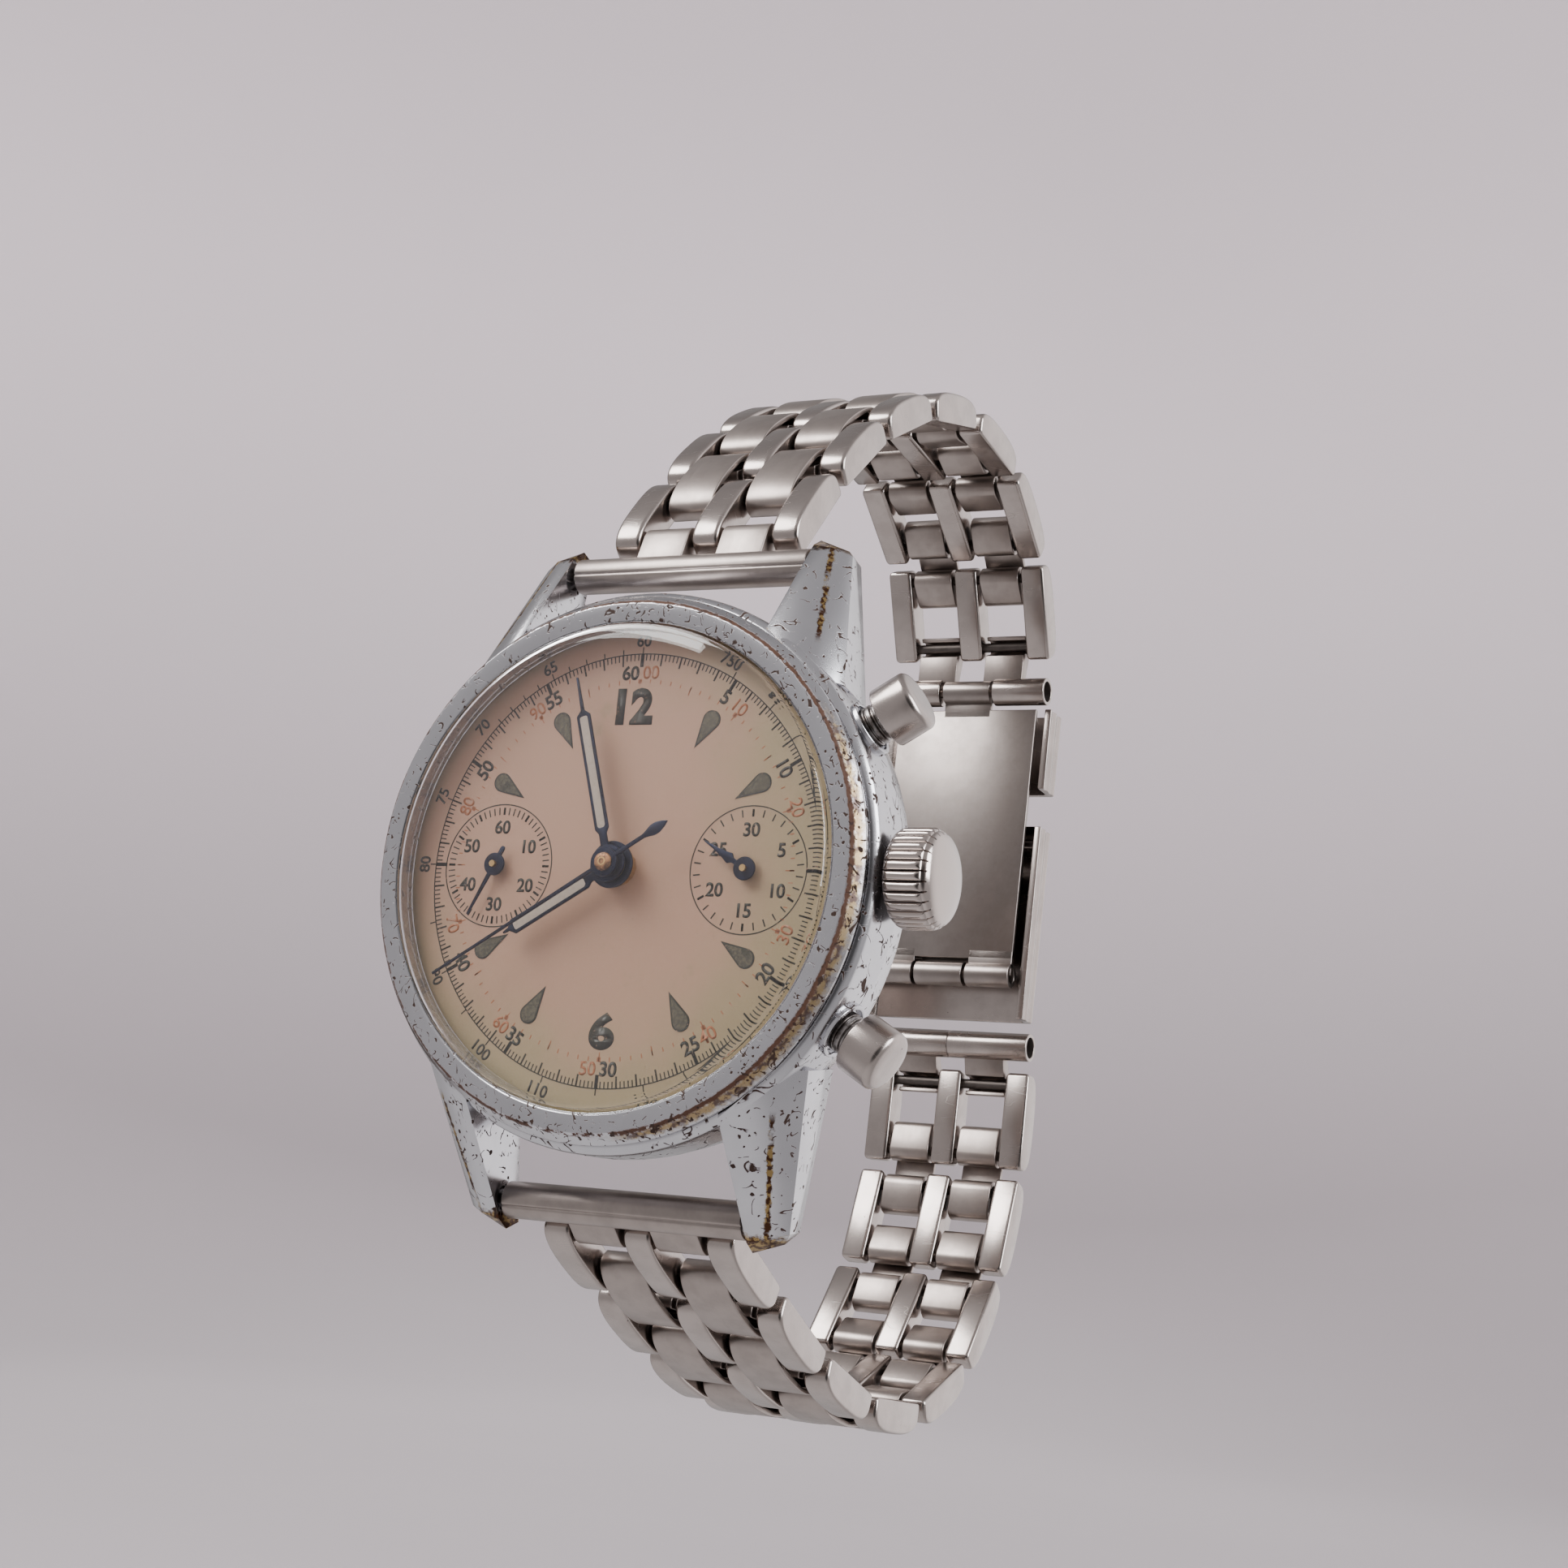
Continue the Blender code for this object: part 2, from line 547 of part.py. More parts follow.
small_outline = [(-0.17 * MM, 0), (-0.14 * MM, -1.3 * MM), (0.14 * MM, -1.3 * MM), (0.17 * MM, 0),
                 (0.09 * MM, SMALL_REACH), (-0.09 * MM, SMALL_REACH)]
seconds_hand = hand_mesh("seconds_hand", small_outline, SMALL_LEVEL, 0.75 * MM,
                         SMALL_SHAFT + 0.08 * MM)
place("seconds_hand", seconds_hand, "blued", watch, (-REGISTER_X, 0, 0), turned(SECONDS_ANGLE))
counter_outline = [(-0.12 * MM, 0), (0.12 * MM, 0), (0.3 * MM, 1.9 * MM), (0.06 * MM, 3.4 * MM),
                   (-0.06 * MM, 3.4 * MM), (-0.3 * MM, 1.9 * MM)]
counter_hand = hand_mesh("counter_hand", counter_outline, SMALL_LEVEL, 0.75 * MM,
                         SMALL_SHAFT + 0.08 * MM)
place("counter_hand", counter_hand, "blued", watch, (REGISTER_X, 0, 0), turned(COUNTER_ANGLE))

# ---- crown, stem, pushers -------------------------------------------------------------
along_x = (0, math.pi / 2, 0)
crown_start = CASE_RADIUS + CROWN_STANDOFF
stem_mesh = lathe("winding_stem", [
    (0, crown_start + 1.2 * MM), (STEM_RADIUS, crown_start + 1.2 * MM),
    (STEM_RADIUS, STEM_INNER_END), (0, STEM_INNER_END)], 12)
place("winding_stem", stem_mesh, "steel", watch, (0, 0, STEM_LEVEL), along_x)

flutes = []
for index in range(2 * CROWN_FLUTES):
    reach = CROWN_RADIUS if index % 2 == 0 else CROWN_RADIUS - 0.28 * MM
    angle = math.pi * index / CROWN_FLUTES
    flutes.append((reach * math.cos(angle), reach * math.sin(angle)))
crown_body = plate("crown", [flutes], crown_start, crown_start + CROWN_LENGTH)
cap_start = crown_start + CROWN_LENGTH - 0.2 * MM
crown_cap = lathe("crown_cap", [
    (0, cap_start + 0.2 * MM + CROWN_DOME), (1.3 * MM, cap_start + 0.2 * MM + 0.85 * CROWN_DOME),
    (2.3 * MM, cap_start + 0.2 * MM + 0.5 * CROWN_DOME), (2.95 * MM, cap_start + 0.2 * MM),
    (2.95 * MM, cap_start), (0, cap_start)], 24)
crown_bore = rod(STEM_RADIUS + 0.1 * MM, crown_start - 1 * MM, crown_start + 1.35 * MM, 12)
crown_well = rod(2.2 * MM, crown_start - 1 * MM, crown_start + 0.5 * MM, 16)
place("crown", combine("crown", crown_body, [crown_cap], [crown_well, crown_bore]), "steel", watch,
      (0, 0, STEM_LEVEL), along_x)

cap_low = CASE_RADIUS + PUSHER_COLLAR + PUSHER_TRAVEL + 0.2 * MM
cap_high = cap_low + PUSHER_CAP_LENGTH
groove = cap_low - 0.45 * MM
pusher_profile = [
    (0, cap_high), (PUSHER_CAP - 0.2 * MM, cap_high), (PUSHER_CAP, cap_high - 0.2 * MM),
    (PUSHER_CAP, cap_low), (PUSHER_STEM, cap_low), (PUSHER_STEM, groove),
    (PUSHER_STEM - 0.18 * MM, groove), (PUSHER_STEM - 0.18 * MM, groove - 0.18 * MM),
    (PUSHER_STEM, groove - 0.18 * MM), (PUSHER_STEM, MOVEMENT_RADIUS + 1.2 * MM),
    (0, MOVEMENT_RADIUS + 1.2 * MM)]
for label, side in (("pusher_upper", 1), ("pusher_lower", -1)):
    place(label, lathe(label, pusher_profile, 20), "steel", watch, (0, 0, STEM_LEVEL),
          (0, math.pi / 2, side * math.radians(PUSHER_ANGLE)))


# ---- bracelet -------------------------------------------------------------------------
def heading_vector(degrees):
    """Direction in the YZ plane, from +Y towards +Z."""
    return Vector((0, math.cos(math.radians(degrees)), math.sin(math.radians(degrees))))


def link_turn(degrees, side):
    """Rotation that lays a link's y along its heading and its z outwards."""
    if side > 0:
        return Euler((math.radians(degrees), 0, 0))
    return Euler((-math.radians(degrees), math.pi, 0))


def chain(side, tab, tab_heading, headings, end, end_heading):
    """Joints of one half of the bracelet: (kind, start, heading) in order."""
    spot = Vector((0, -BACK_DEPTH - BAR_LEVEL, side * BAR_SPAN))
    steps = [("tab", spot.copy(), tab_heading)]
    spot += tab * heading_vector(tab_heading)
    for index, heading in enumerate(headings):
        steps.append(("a", spot.copy(), heading))
        spot += A_PITCH * heading_vector(heading)
        if index + 1 < len(headings):
            middle = (heading + headings[index + 1]) / 2
            steps.append(("b", spot.copy(), middle))
            spot += B_PITCH * heading_vector(middle)
    steps.append(("end", spot.copy(), end_heading))
    spot += end * heading_vector(end_heading)
    steps.append(("tube", spot.copy(), end_heading))
    return steps


A_COLUMNS = (0.0, OUTER_WIDTH + INNER_WIDTH + 2 * SIDE_GAP, -OUTER_WIDTH - INNER_WIDTH - 2 * SIDE_GAP)
B_COLUMN = (OUTER_WIDTH + INNER_WIDTH) / 2 + SIDE_GAP
BRACELET_HALF = A_COLUMNS[1] + OUTER_WIDTH / 2
PIN_END = BRACELET_HALF - 0.6 * MM
EYE = LINK_DROP


def across(outline, middle, width):
    """A plate whose outline lies in the link's (y, z) plane, width across x."""
    return sideways(plate("link_plate", [outline], middle - width / 2, middle + width / 2))


def cross_pin(radius, half, spot=(0, 0), steps=6):
    """A pin across the bracelet through a point of the link's (y, z) plane."""
    return sideways(rod(radius, -half, half, steps, spot))


def a_outline():
    """Loaf section of an A link; its near pin is at the origin."""
    overhang = (A_LENGTH - A_PITCH) / 2
    near = -overhang
    far = A_PITCH + overhang
    crown = LINK_RISE
    return [(near, -LINK_DROP + 0.2 * MM), (near + 0.25 * MM, -LINK_DROP),
            (far - 0.25 * MM, -LINK_DROP), (far, -LINK_DROP + 0.2 * MM), (far, 0.1 * MM),
            (far - 0.75 * MM, crown - 0.35 * MM), (A_PITCH * 0.7, crown), (A_PITCH * 0.3, crown),
            (near + 0.75 * MM, crown - 0.35 * MM), (near, 0.1 * MM)]


def eye_arc(centre, radius, first, last, count):
    """Points on an arc about a pin, in degrees from +y towards +z."""
    spots = []
    for index in range(count):
        angle = math.radians(first + (last - first) * index / (count - 1))
        spots.append((centre + radius * math.cos(angle), radius * math.sin(angle)))
    return spots


def b_outline():
    """Folded section of a B link: open eye at the near pin, solid roll at the far pin."""
    overhang = (B_LENGTH - B_PITCH) / 2
    near = -overhang
    far = B_PITCH + overhang
    bore = PIN_RADIUS + FINE
    outer = [(near + 0.15 * MM, -0.45 * MM), (near, 0.1 * MM), (near + 0.6 * MM, 0.85 * MM),
             (near + 2.0 * MM, LINK_RISE), (far - 2.0 * MM, LINK_RISE), (far - 0.6 * MM, 0.85 * MM),
             (far, 0.1 * MM), (far - 0.15 * MM, -0.45 * MM), (far - 0.6 * MM, -EYE + 0.1 * MM)]
    roll = eye_arc(B_PITCH, EYE, -90, -230, 5)
    inner = [(far - 0.9 * MM, -0.05 * MM), (far - 0.95 * MM, 0.4 * MM),
             (far - 2.1 * MM, LINK_RISE - SHEET), (near + 2.1 * MM, LINK_RISE - SHEET),
             (near + 0.95 * MM, 0.4 * MM), (near + 0.6 * MM, 0.0), (near + 0.75 * MM, -0.45 * MM)]
    hook_in = eye_arc(0, bore, -115, 50, 5)
    hook_out = list(reversed(eye_arc(0, EYE, -90, 50, 5)))
    return outer + roll + inner + hook_in + hook_out + [(near + 0.6 * MM, -EYE + 0.1 * MM)]


a_plates = [across(a_outline(), column, OUTER_WIDTH) for column in A_COLUMNS]
a_pin = cross_pin(PIN_RADIUS, PIN_END, (A_PITCH, 0))
a_hole = cross_pin(PIN_RADIUS + FINE, PIN_END + FINE)
a_mesh = combine("a_link", a_plates[0], [a_plates[1], a_plates[2], a_pin], [a_hole])
b_plates = [across(b_outline(), side * B_COLUMN, INNER_WIDTH) for side in (1, -1)]
b_pin = cross_pin(PIN_RADIUS, PIN_END, (B_PITCH, 0))
b_mesh = combine("b_link", b_plates[0], [b_plates[1], b_pin])


def end_bar_mesh(tab):
    """Tube between the lugs with two tabs out to the first pin."""
    half = LUG_GAP / 2 - FIT
    tube = sideways(plate("end_tube", [ring(END_TUBE_RADIUS, 16),
                                       ring(SPRING_BAR_RADIUS + FINE, 10)], -half, half))
    outline = [(END_TUBE_RADIUS - 0.25 * MM, -0.5 * MM), (tab - 0.2 * MM, -EYE + 0.1 * MM)]
    outline += eye_arc(tab, EYE, -90, 90, 6)
    outline += [(tab - 0.3 * MM, EYE), (END_TUBE_RADIUS - 0.25 * MM, 0.55 * MM)]
    tabs = [across(outline, side * B_COLUMN, INNER_WIDTH) for side in (1, -1)]
    pin = cross_pin(PIN_RADIUS, PIN_END, (tab, 0))
    return combine("end_bar", tube, tabs + [pin])


spring_bar = lathe("spring_bar", [
    (0, LUG_GAP / 2 + SPRING_BAR_REACH), (SPRING_BAR_TIP, LUG_GAP / 2 + SPRING_BAR_REACH),
    (SPRING_BAR_TIP, LUG_GAP / 2 - 0.5 * MM), (SPRING_BAR_RADIUS, LUG_GAP / 2 - 0.5 * MM),
    (SPRING_BAR_RADIUS, -LUG_GAP / 2 + 0.5 * MM), (SPRING_BAR_TIP, -LUG_GAP / 2 + 0.5 * MM),
    (SPRING_BAR_TIP, -LUG_GAP / 2 - SPRING_BAR_REACH), (0, -LUG_GAP / 2 - SPRING_BAR_REACH)], 8)
sideways(spring_bar)


def tube_link_mesh(reach):
    """Last link of a half: two hooks on the last A pin, and the clasp tube beyond."""
    bore = PIN_RADIUS + FINE
    outline = [(reach - CLASP_TUBE + 0.3 * MM, -0.45 * MM), (reach - CLASP_TUBE + 0.3 * MM, 0.45 * MM),
               (0.6 * MM, EYE)]
    outline += eye_arc(0, EYE, 100, 220, 5)
    outline += list(reversed(eye_arc(0, bore, 0, 220, 7)))
    outline += [(bore + 0.25 * MM, -0.45 * MM)]
    hooks = [across(outline, side * B_COLUMN, INNER_WIDTH) for side in (1, -1)]
    tube = cross_pin(CLASP_TUBE, BRACELET_HALF, (reach, 0), 16)
    waist = sideways(plate("waist", [ring(CLASP_TUBE + 0.6 * MM, 16, (reach, 0)),
                                     ring(PIN_RADIUS, 8, (reach, 0))],
                           -KNUCKLE_HALF - FIT, KNUCKLE_HALF + FIT))
    wells = []
    for side in (1, -1):
        well = sideways(rod(CLASP_TUBE - 0.35 * MM, BRACELET_HALF - 2.0 * MM,
                            BRACELET_HALF + 1 * MM, 12, (reach, 0)))
        if side < 0:
            well.transform(Matrix.Scale(-1, 4, (1, 0, 0)))
            well.flip_normals()
        wells.append(well)
    return combine("tube_link", tube, hooks, [waist] + wells)


upper = chain(1, UPPER_TAB, UPPER_TAB_HEADING, UPPER_HEADINGS, UPPER_END, UPPER_END_HEADING)
lower = chain(-1, LOWER_TAB, LOWER_TAB_HEADING, LOWER_HEADINGS, LOWER_END, LOWER_END_HEADING)
for label, side, steps, tab, end in (("upper", 1, upper, UPPER_TAB, UPPER_END),
                                     ("lower", -1, lower, LOWER_TAB, LOWER_END)):
    count = {"a": 0, "b": 0}
    place("spring_bar_" + label, spring_bar.copy(), "steel", None, steps[0][1])
    for kind, spot, heading in steps:
        turn = link_turn(heading, side)
        if kind == "tab":
            place("end_bar_" + label, end_bar_mesh(tab), "steel", None, spot, turn)
        elif kind == "end":
            place("clasp_link_" + label, tube_link_mesh(end), "steel", None, spot, turn)
        elif kind in count:
            count[kind] += 1
            mesh = a_mesh if kind == "a" else b_mesh
            place("link_%s_%s%d" % (label, kind, count[kind]), mesh, "steel", None, spot, turn)

# ---- clasp ----------------------------------------------------------------------------
clasp_turn = link_turn(CLASP_HEADING, 1)
clasp_spot = upper[-1][1]
to_clasp = (Matrix.Translation(clasp_spot) @ clasp_turn.to_matrix().to_4x4()).inverted()
lower_tube = to_clasp @ lower[-1][1]
cover_start = SHORT_COVER_START + SHORT_COVER_LENGTH + COVER_SPLIT
cover_end = lower_tube.y - CLASP_TUBE - COVER_PIVOT_GAP
plate_low = CLASP_TOP - CLASP_PLATE
wall_low = 0.75 * MM
wall_in = CLASP_HALF - CLASP_PLATE
blade_low = -0.1 * MM
blade_top = blade_low + BLADE_THICK
middle_low = blade_top + 0.45 * MM
middle_top = middle_low + BLADE_THICK
fold_level = middle_top - KNUCKLE
cover_hinge = (cover_start + 1.3 * MM, plate_low - FINE - 0.85 * MM)


def channel(name, start, end, low):
    """A cover: outer plate with two side walls turned inwards."""
    outline = [(-CLASP_HALF, low), (-CLASP_HALF, CLASP_TOP - 0.35 * MM),
               (-CLASP_HALF + 0.35 * MM, CLASP_TOP), (CLASP_HALF - 0.35 * MM, CLASP_TOP),
               (CLASP_HALF, CLASP_TOP - 0.35 * MM), (CLASP_HALF, low), (wall_in, low),
               (wall_in, plate_low), (-wall_in, plate_low), (-wall_in, low)]
    mesh = plate(name, [outline], -end, -start)
    mesh.transform(Matrix(((1, 0, 0, 0), (0, 0, -1, 0), (0, 1, 0, 0), (0, 0, 0, 1))))
    return mesh


def knuckle(radius, half, spot, middle=0.0):
    """A solid roll across the clasp."""
    return sideways(rod(radius, middle - half, middle + half, 12, spot))


short_cover = channel("short_cover", SHORT_COVER_START, SHORT_COVER_START + SHORT_COVER_LENGTH,
                      blade_top + FINE)
place("short_cover", short_cover, "steel", None, clasp_spot, clasp_turn)

outer_roll = (BLADE_HALF - KNUCKLE_HALF - FIT) / 2
roll_middle = KNUCKLE_HALF + FIT + outer_roll
blade = block((-BLADE_HALF, CLASP_TUBE + 0.4 * MM, blade_low),
              (BLADE_HALF, BLADE_LENGTH - KNUCKLE - FIT, blade_top))
neck = block((-KNUCKLE_HALF, 0.3 * MM, blade_low),
             (KNUCKLE_HALF, CLASP_TUBE + 1.0 * MM, blade_top))
tails = [block((side * roll_middle - outer_roll, BLADE_LENGTH - KNUCKLE - 1.0 * MM, blade_low),
               (side * roll_middle + outer_roll, BLADE_LENGTH, blade_top)) for side in (1, -1)]
rolls = [knuckle(KNUCKLE, outer_roll, (BLADE_LENGTH, fold_level), side * roll_middle)
         for side in (1, -1)]
fold_pin = knuckle(PIN_RADIUS, KNUCKLE_HALF + 2 * FIT, (BLADE_LENGTH, fold_level))
inner_blade = combine("inner_blade", blade,
                      [neck, knuckle(KNUCKLE, KNUCKLE_HALF, (0, 0))] + tails + rolls + [fold_pin],
                      [knuckle(PIN_RADIUS + FINE, KNUCKLE_HALF + 1 * MM, (0, 0))])
place("inner_blade", inner_blade, "steel", None, clasp_spot, clasp_turn)


def at_fold(y, z):
    """Clasp coordinates taken from the fold axis."""
    return (y - BLADE_LENGTH, z - fold_level)


leaf = block((-BLADE_HALF + 0.3 * MM, cover_hinge[0] - BLADE_LENGTH + 0.85 * MM + FIT,
              middle_low - fold_level),
             (BLADE_HALF - 0.3 * MM, -KNUCKLE - FIT, middle_top - fold_level))
leaf_low = block((-KNUCKLE_HALF, -KNUCKLE - 1 * MM, middle_low - fold_level),
                 (KNUCKLE_HALF, 0.0, middle_top - fold_level))
leaf_high = block((-KNUCKLE_HALF, cover_hinge[0] - BLADE_LENGTH, middle_low - fold_level),
                  (KNUCKLE_HALF, cover_hinge[0] - BLADE_LENGTH + 2 * MM, middle_top - fold_level))
far_hinge = at_fold(*cover_hinge)
middle_blade = combine(
    "middle_blade", leaf,
    [leaf_low, leaf_high, knuckle(KNUCKLE, KNUCKLE_HALF, (0, 0)),
     knuckle(0.85 * MM, KNUCKLE_HALF, far_hinge)],
    [knuckle(PIN_RADIUS + FINE, KNUCKLE_HALF + 1 * MM, (0, 0)),
     knuckle(PIN_RADIUS + FINE, KNUCKLE_HALF + 1 * MM, far_hinge)])
fold_spot = to_clasp.inverted() @ Vector((0, BLADE_LENGTH, fold_level))
place("middle_blade", middle_blade, "steel", None, fold_spot, clasp_turn)

cover_mesh = combine("long_cover", channel("long_cover", cover_start, cover_end, wall_low),
                     [knuckle(PIN_RADIUS, wall_in + 0.2 * MM, cover_hinge)])
cover_mesh.transform(Matrix.Translation((0, -cover_hinge[0], -cover_hinge[1])))
cover_spot = to_clasp.inverted() @ Vector((0, *cover_hinge))
place("long_cover", cover_mesh, "steel", None, cover_spot, clasp_turn)
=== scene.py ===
"""Looks of a two-register chronograph wristwatch on a brick-link bracelet.

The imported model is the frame: +X to the crown, +Z to 12 o'clock, the dial looks along -Y.
Shapes are drawn in millimetres in the watch's own frame (x to 3 o'clock, y to 12, z out of
the dial, dial surface at z = 0) or in a link's own frame (x across, y along, z outwards),
and set down in metres.
"""
import json
import math

import bmesh
import bpy
from mathutils import Euler, Matrix, Vector


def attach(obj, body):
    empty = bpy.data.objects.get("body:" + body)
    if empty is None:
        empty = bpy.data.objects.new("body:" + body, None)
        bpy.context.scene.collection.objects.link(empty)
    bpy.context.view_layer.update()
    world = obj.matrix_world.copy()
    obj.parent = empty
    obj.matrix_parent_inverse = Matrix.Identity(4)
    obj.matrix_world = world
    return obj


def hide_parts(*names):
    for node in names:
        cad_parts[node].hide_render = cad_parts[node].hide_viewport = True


bl_info = {
    "name": "Chronograph wristwatch",
    "version": (1, 0, 0),
    "blender": (4, 5, 0),
    "location": "View3D > Sidebar > Watch",
    "description": "Builds a chronograph wristwatch with its brick-link bracelet",
    "category": "Add Mesh",
}

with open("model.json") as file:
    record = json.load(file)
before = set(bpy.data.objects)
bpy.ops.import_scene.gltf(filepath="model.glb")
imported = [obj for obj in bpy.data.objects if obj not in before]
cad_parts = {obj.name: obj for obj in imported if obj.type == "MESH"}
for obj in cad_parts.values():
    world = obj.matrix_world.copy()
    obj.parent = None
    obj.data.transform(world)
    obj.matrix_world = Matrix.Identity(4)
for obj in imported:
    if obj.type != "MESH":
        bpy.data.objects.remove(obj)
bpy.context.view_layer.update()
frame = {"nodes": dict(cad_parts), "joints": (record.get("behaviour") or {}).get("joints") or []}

MM = 0.001
BACK_DEPTH = 7.6
WATCH = Matrix(((1, 0, 0, 0), (0, 0, -1, -BACK_DEPTH), (0, 1, 0, 0), (0, 0, 0, 1)))
PINS = {joint["child"]: Vector(joint["pos_m"]) / MM for joint in frame["joints"]
        if joint.get("pos_m")}
STEM_LEVEL = -1.9
REGISTER_X = 9.05
A_PITCH = 5.85
B_PITCH = 3.1
A_WIDTH = 2.0
B_WIDTH = 3.44
SIDE_GAP = 0.28
A_STEP = A_WIDTH + B_WIDTH + 2 * SIDE_GAP
B_OFFSET = A_STEP / 2
RISE = 1.45
DROP = 0.95
SHEET = 0.45
PIN_RADIUS = 0.4
BRACELET_HALF = A_STEP + A_WIDTH / 2
LAST_STEP = 3.3 * Vector((0, math.cos(math.radians(108.0)), math.sin(math.radians(108.0))))
CLASP_HEADING = -93.5
CLASP_HALF = 7.3
CLASP_TOP = 3.4
CLASP_TUBE = 1.15
COVER_GAP = 0.7
PUSHER_ANGLE = 31.0
PRINT_LEVEL = 0.004
HOUR_ANGLE, MINUTE_ANGLE, CHRONO_ANGLE = 238.5, 342.6, 237.8
SECONDS_ANGLE, COUNTER_ANGLE = 206.2, 300.0
PAPER_LEVEL = -75.0
CAMERA_PLACE = (0.075859, -0.134639, -0.022346)
CAMERA_RIGHT, CAMERA_AHEAD = Vector((0.895, 0.437, 0.095)), Vector((-0.447, 0.874, 0.191))
CAMERA_LENS = 54.396


# ---- sizes and colours a user would change ------------------------------------------------
def tint(label, text, colour):
    """A colour property."""
    return bpy.props.FloatVectorProperty(name=label, description=text, subtype="COLOR", size=3,
                                         min=0.0, max=1.0, default=colour)


def span(label, text, value):
    """A length property, in millimetres."""
    return bpy.props.FloatProperty(name=label, description=text + ", in millimetres", min=0.0,
                                   default=value)


class WatchSizes(bpy.types.PropertyGroup):
    """Sizes of the pieces that only the looks hold."""
    lume_drop: span("Lume drop", "How far the fill lies below the face of a hand", 0.03)
    print_height: span("Print height", "Thickness of the printing on the dial", 0.012)
    numeral: span("Numeral", "Height of the numbers of the seconds track", 0.96)
    edge_break: span("Edge break", "Width of the rounding on the case edges", 0.16)
    link_break: span("Link edge break", "Width of the rounding on the link edges", 0.30)
    flute_depth: span("Flute depth", "Depth of the flutes of the crown", 0.42)
    flutes: bpy.props.IntProperty(name="Flutes", description="Number of flutes of the crown",
                                  min=8, max=60, default=28)
    steps: bpy.props.IntProperty(name="Steps", description="Segments of a full turned circle",
                                 min=32, max=256, default=144)


class WatchColours(bpy.types.PropertyGroup):
    """Colours of the finishes."""
    chrome: tint("Chrome", "Bright chrome plate of the case", (0.60, 0.60, 0.63))
    steel: tint("Steel", "Polished steel of the bracelet", (0.47, 0.415, 0.388))
    satin: tint("Satin steel", "Brushed steel of the inner links", (0.405, 0.352, 0.326))
    brass: tint("Brass", "Base metal under the worn plate", (0.34, 0.235, 0.10))
    grime: tint("Grime", "Dark brown dirt in pits and worn edges", (0.034, 0.015, 0.008))
    salmon: tint("Dial centre", "Lacquer near the middle of the dial", (0.375, 0.220, 0.150))
    cream: tint("Dial edge", "Lacquer near the edge of the dial", (0.285, 0.220, 0.120))
    ink: tint("Dial ink", "Dark printing of the dial", (0.018, 0.018, 0.012))
    red_ink: tint("Red ink", "Red printing of the dial", (0.30, 0.105, 0.040))
    lume: tint("Marker fill", "Aged fill of the hour markers", (0.050, 0.046, 0.032))
    hand_fill: tint("Hand fill", "Aged fill of the hour and minute hands", (0.36, 0.30, 0.25))
    blue: tint("Blued steel", "Heat-blued steel of the hands", (0.016, 0.022, 0.045))
    floor: tint("Floor", "Paper of the floor and backdrop", (0.62, 0.575, 0.597))


def sizes():
    """The sizes in use."""
    return bpy.context.scene.watch_sizes


def colours():
    """The colours in use."""
    return bpy.context.scene.watch_colours


def toned(name, factor):
    """A colour in use, made darker or lighter."""
    return [part * factor for part in getattr(colours(), name)]


# ---- material maths -----------------------------------------------------------------------
class Wire:
    """One output of a material's nodes; sums written on it add Math nodes."""

    def __init__(self, tree, socket):
        self.tree = tree
        self.socket = socket

    def maths(self, operation, *values, clamp=False):
        """A Math node of this tree on values or wires."""
        node = self.tree.nodes.new("ShaderNodeMath")
        node.operation = operation
        node.use_clamp = clamp
        for slot, value in zip(node.inputs, values):
            if isinstance(value, Wire):
                self.tree.links.new(value.socket, slot)
            else:
                slot.default_value = value
        return Wire(self.tree, node.outputs[0])

    def __add__(self, other):
        return self.maths("ADD", self, other)

    def __sub__(self, other):
        return self.maths("SUBTRACT", self, other)

    def __rsub__(self, other):
        return self.maths("SUBTRACT", other, self)

    def __mul__(self, other):
        return self.maths("MULTIPLY", self, other)

    def __truediv__(self, other):
        return self.maths("DIVIDE", self, other)

    def __pow__(self, other):
        return self.maths("POWER", self, other)

    def __lt__(self, other):
        return self.maths("LESS_THAN", self, other)

    def __abs__(self):
        return self.maths("ABSOLUTE", self)

    def highest(self, other):
        """The larger of two values."""
        return self.maths("MAXIMUM", self, other)

    __radd__ = __add__
    __rmul__ = __mul__


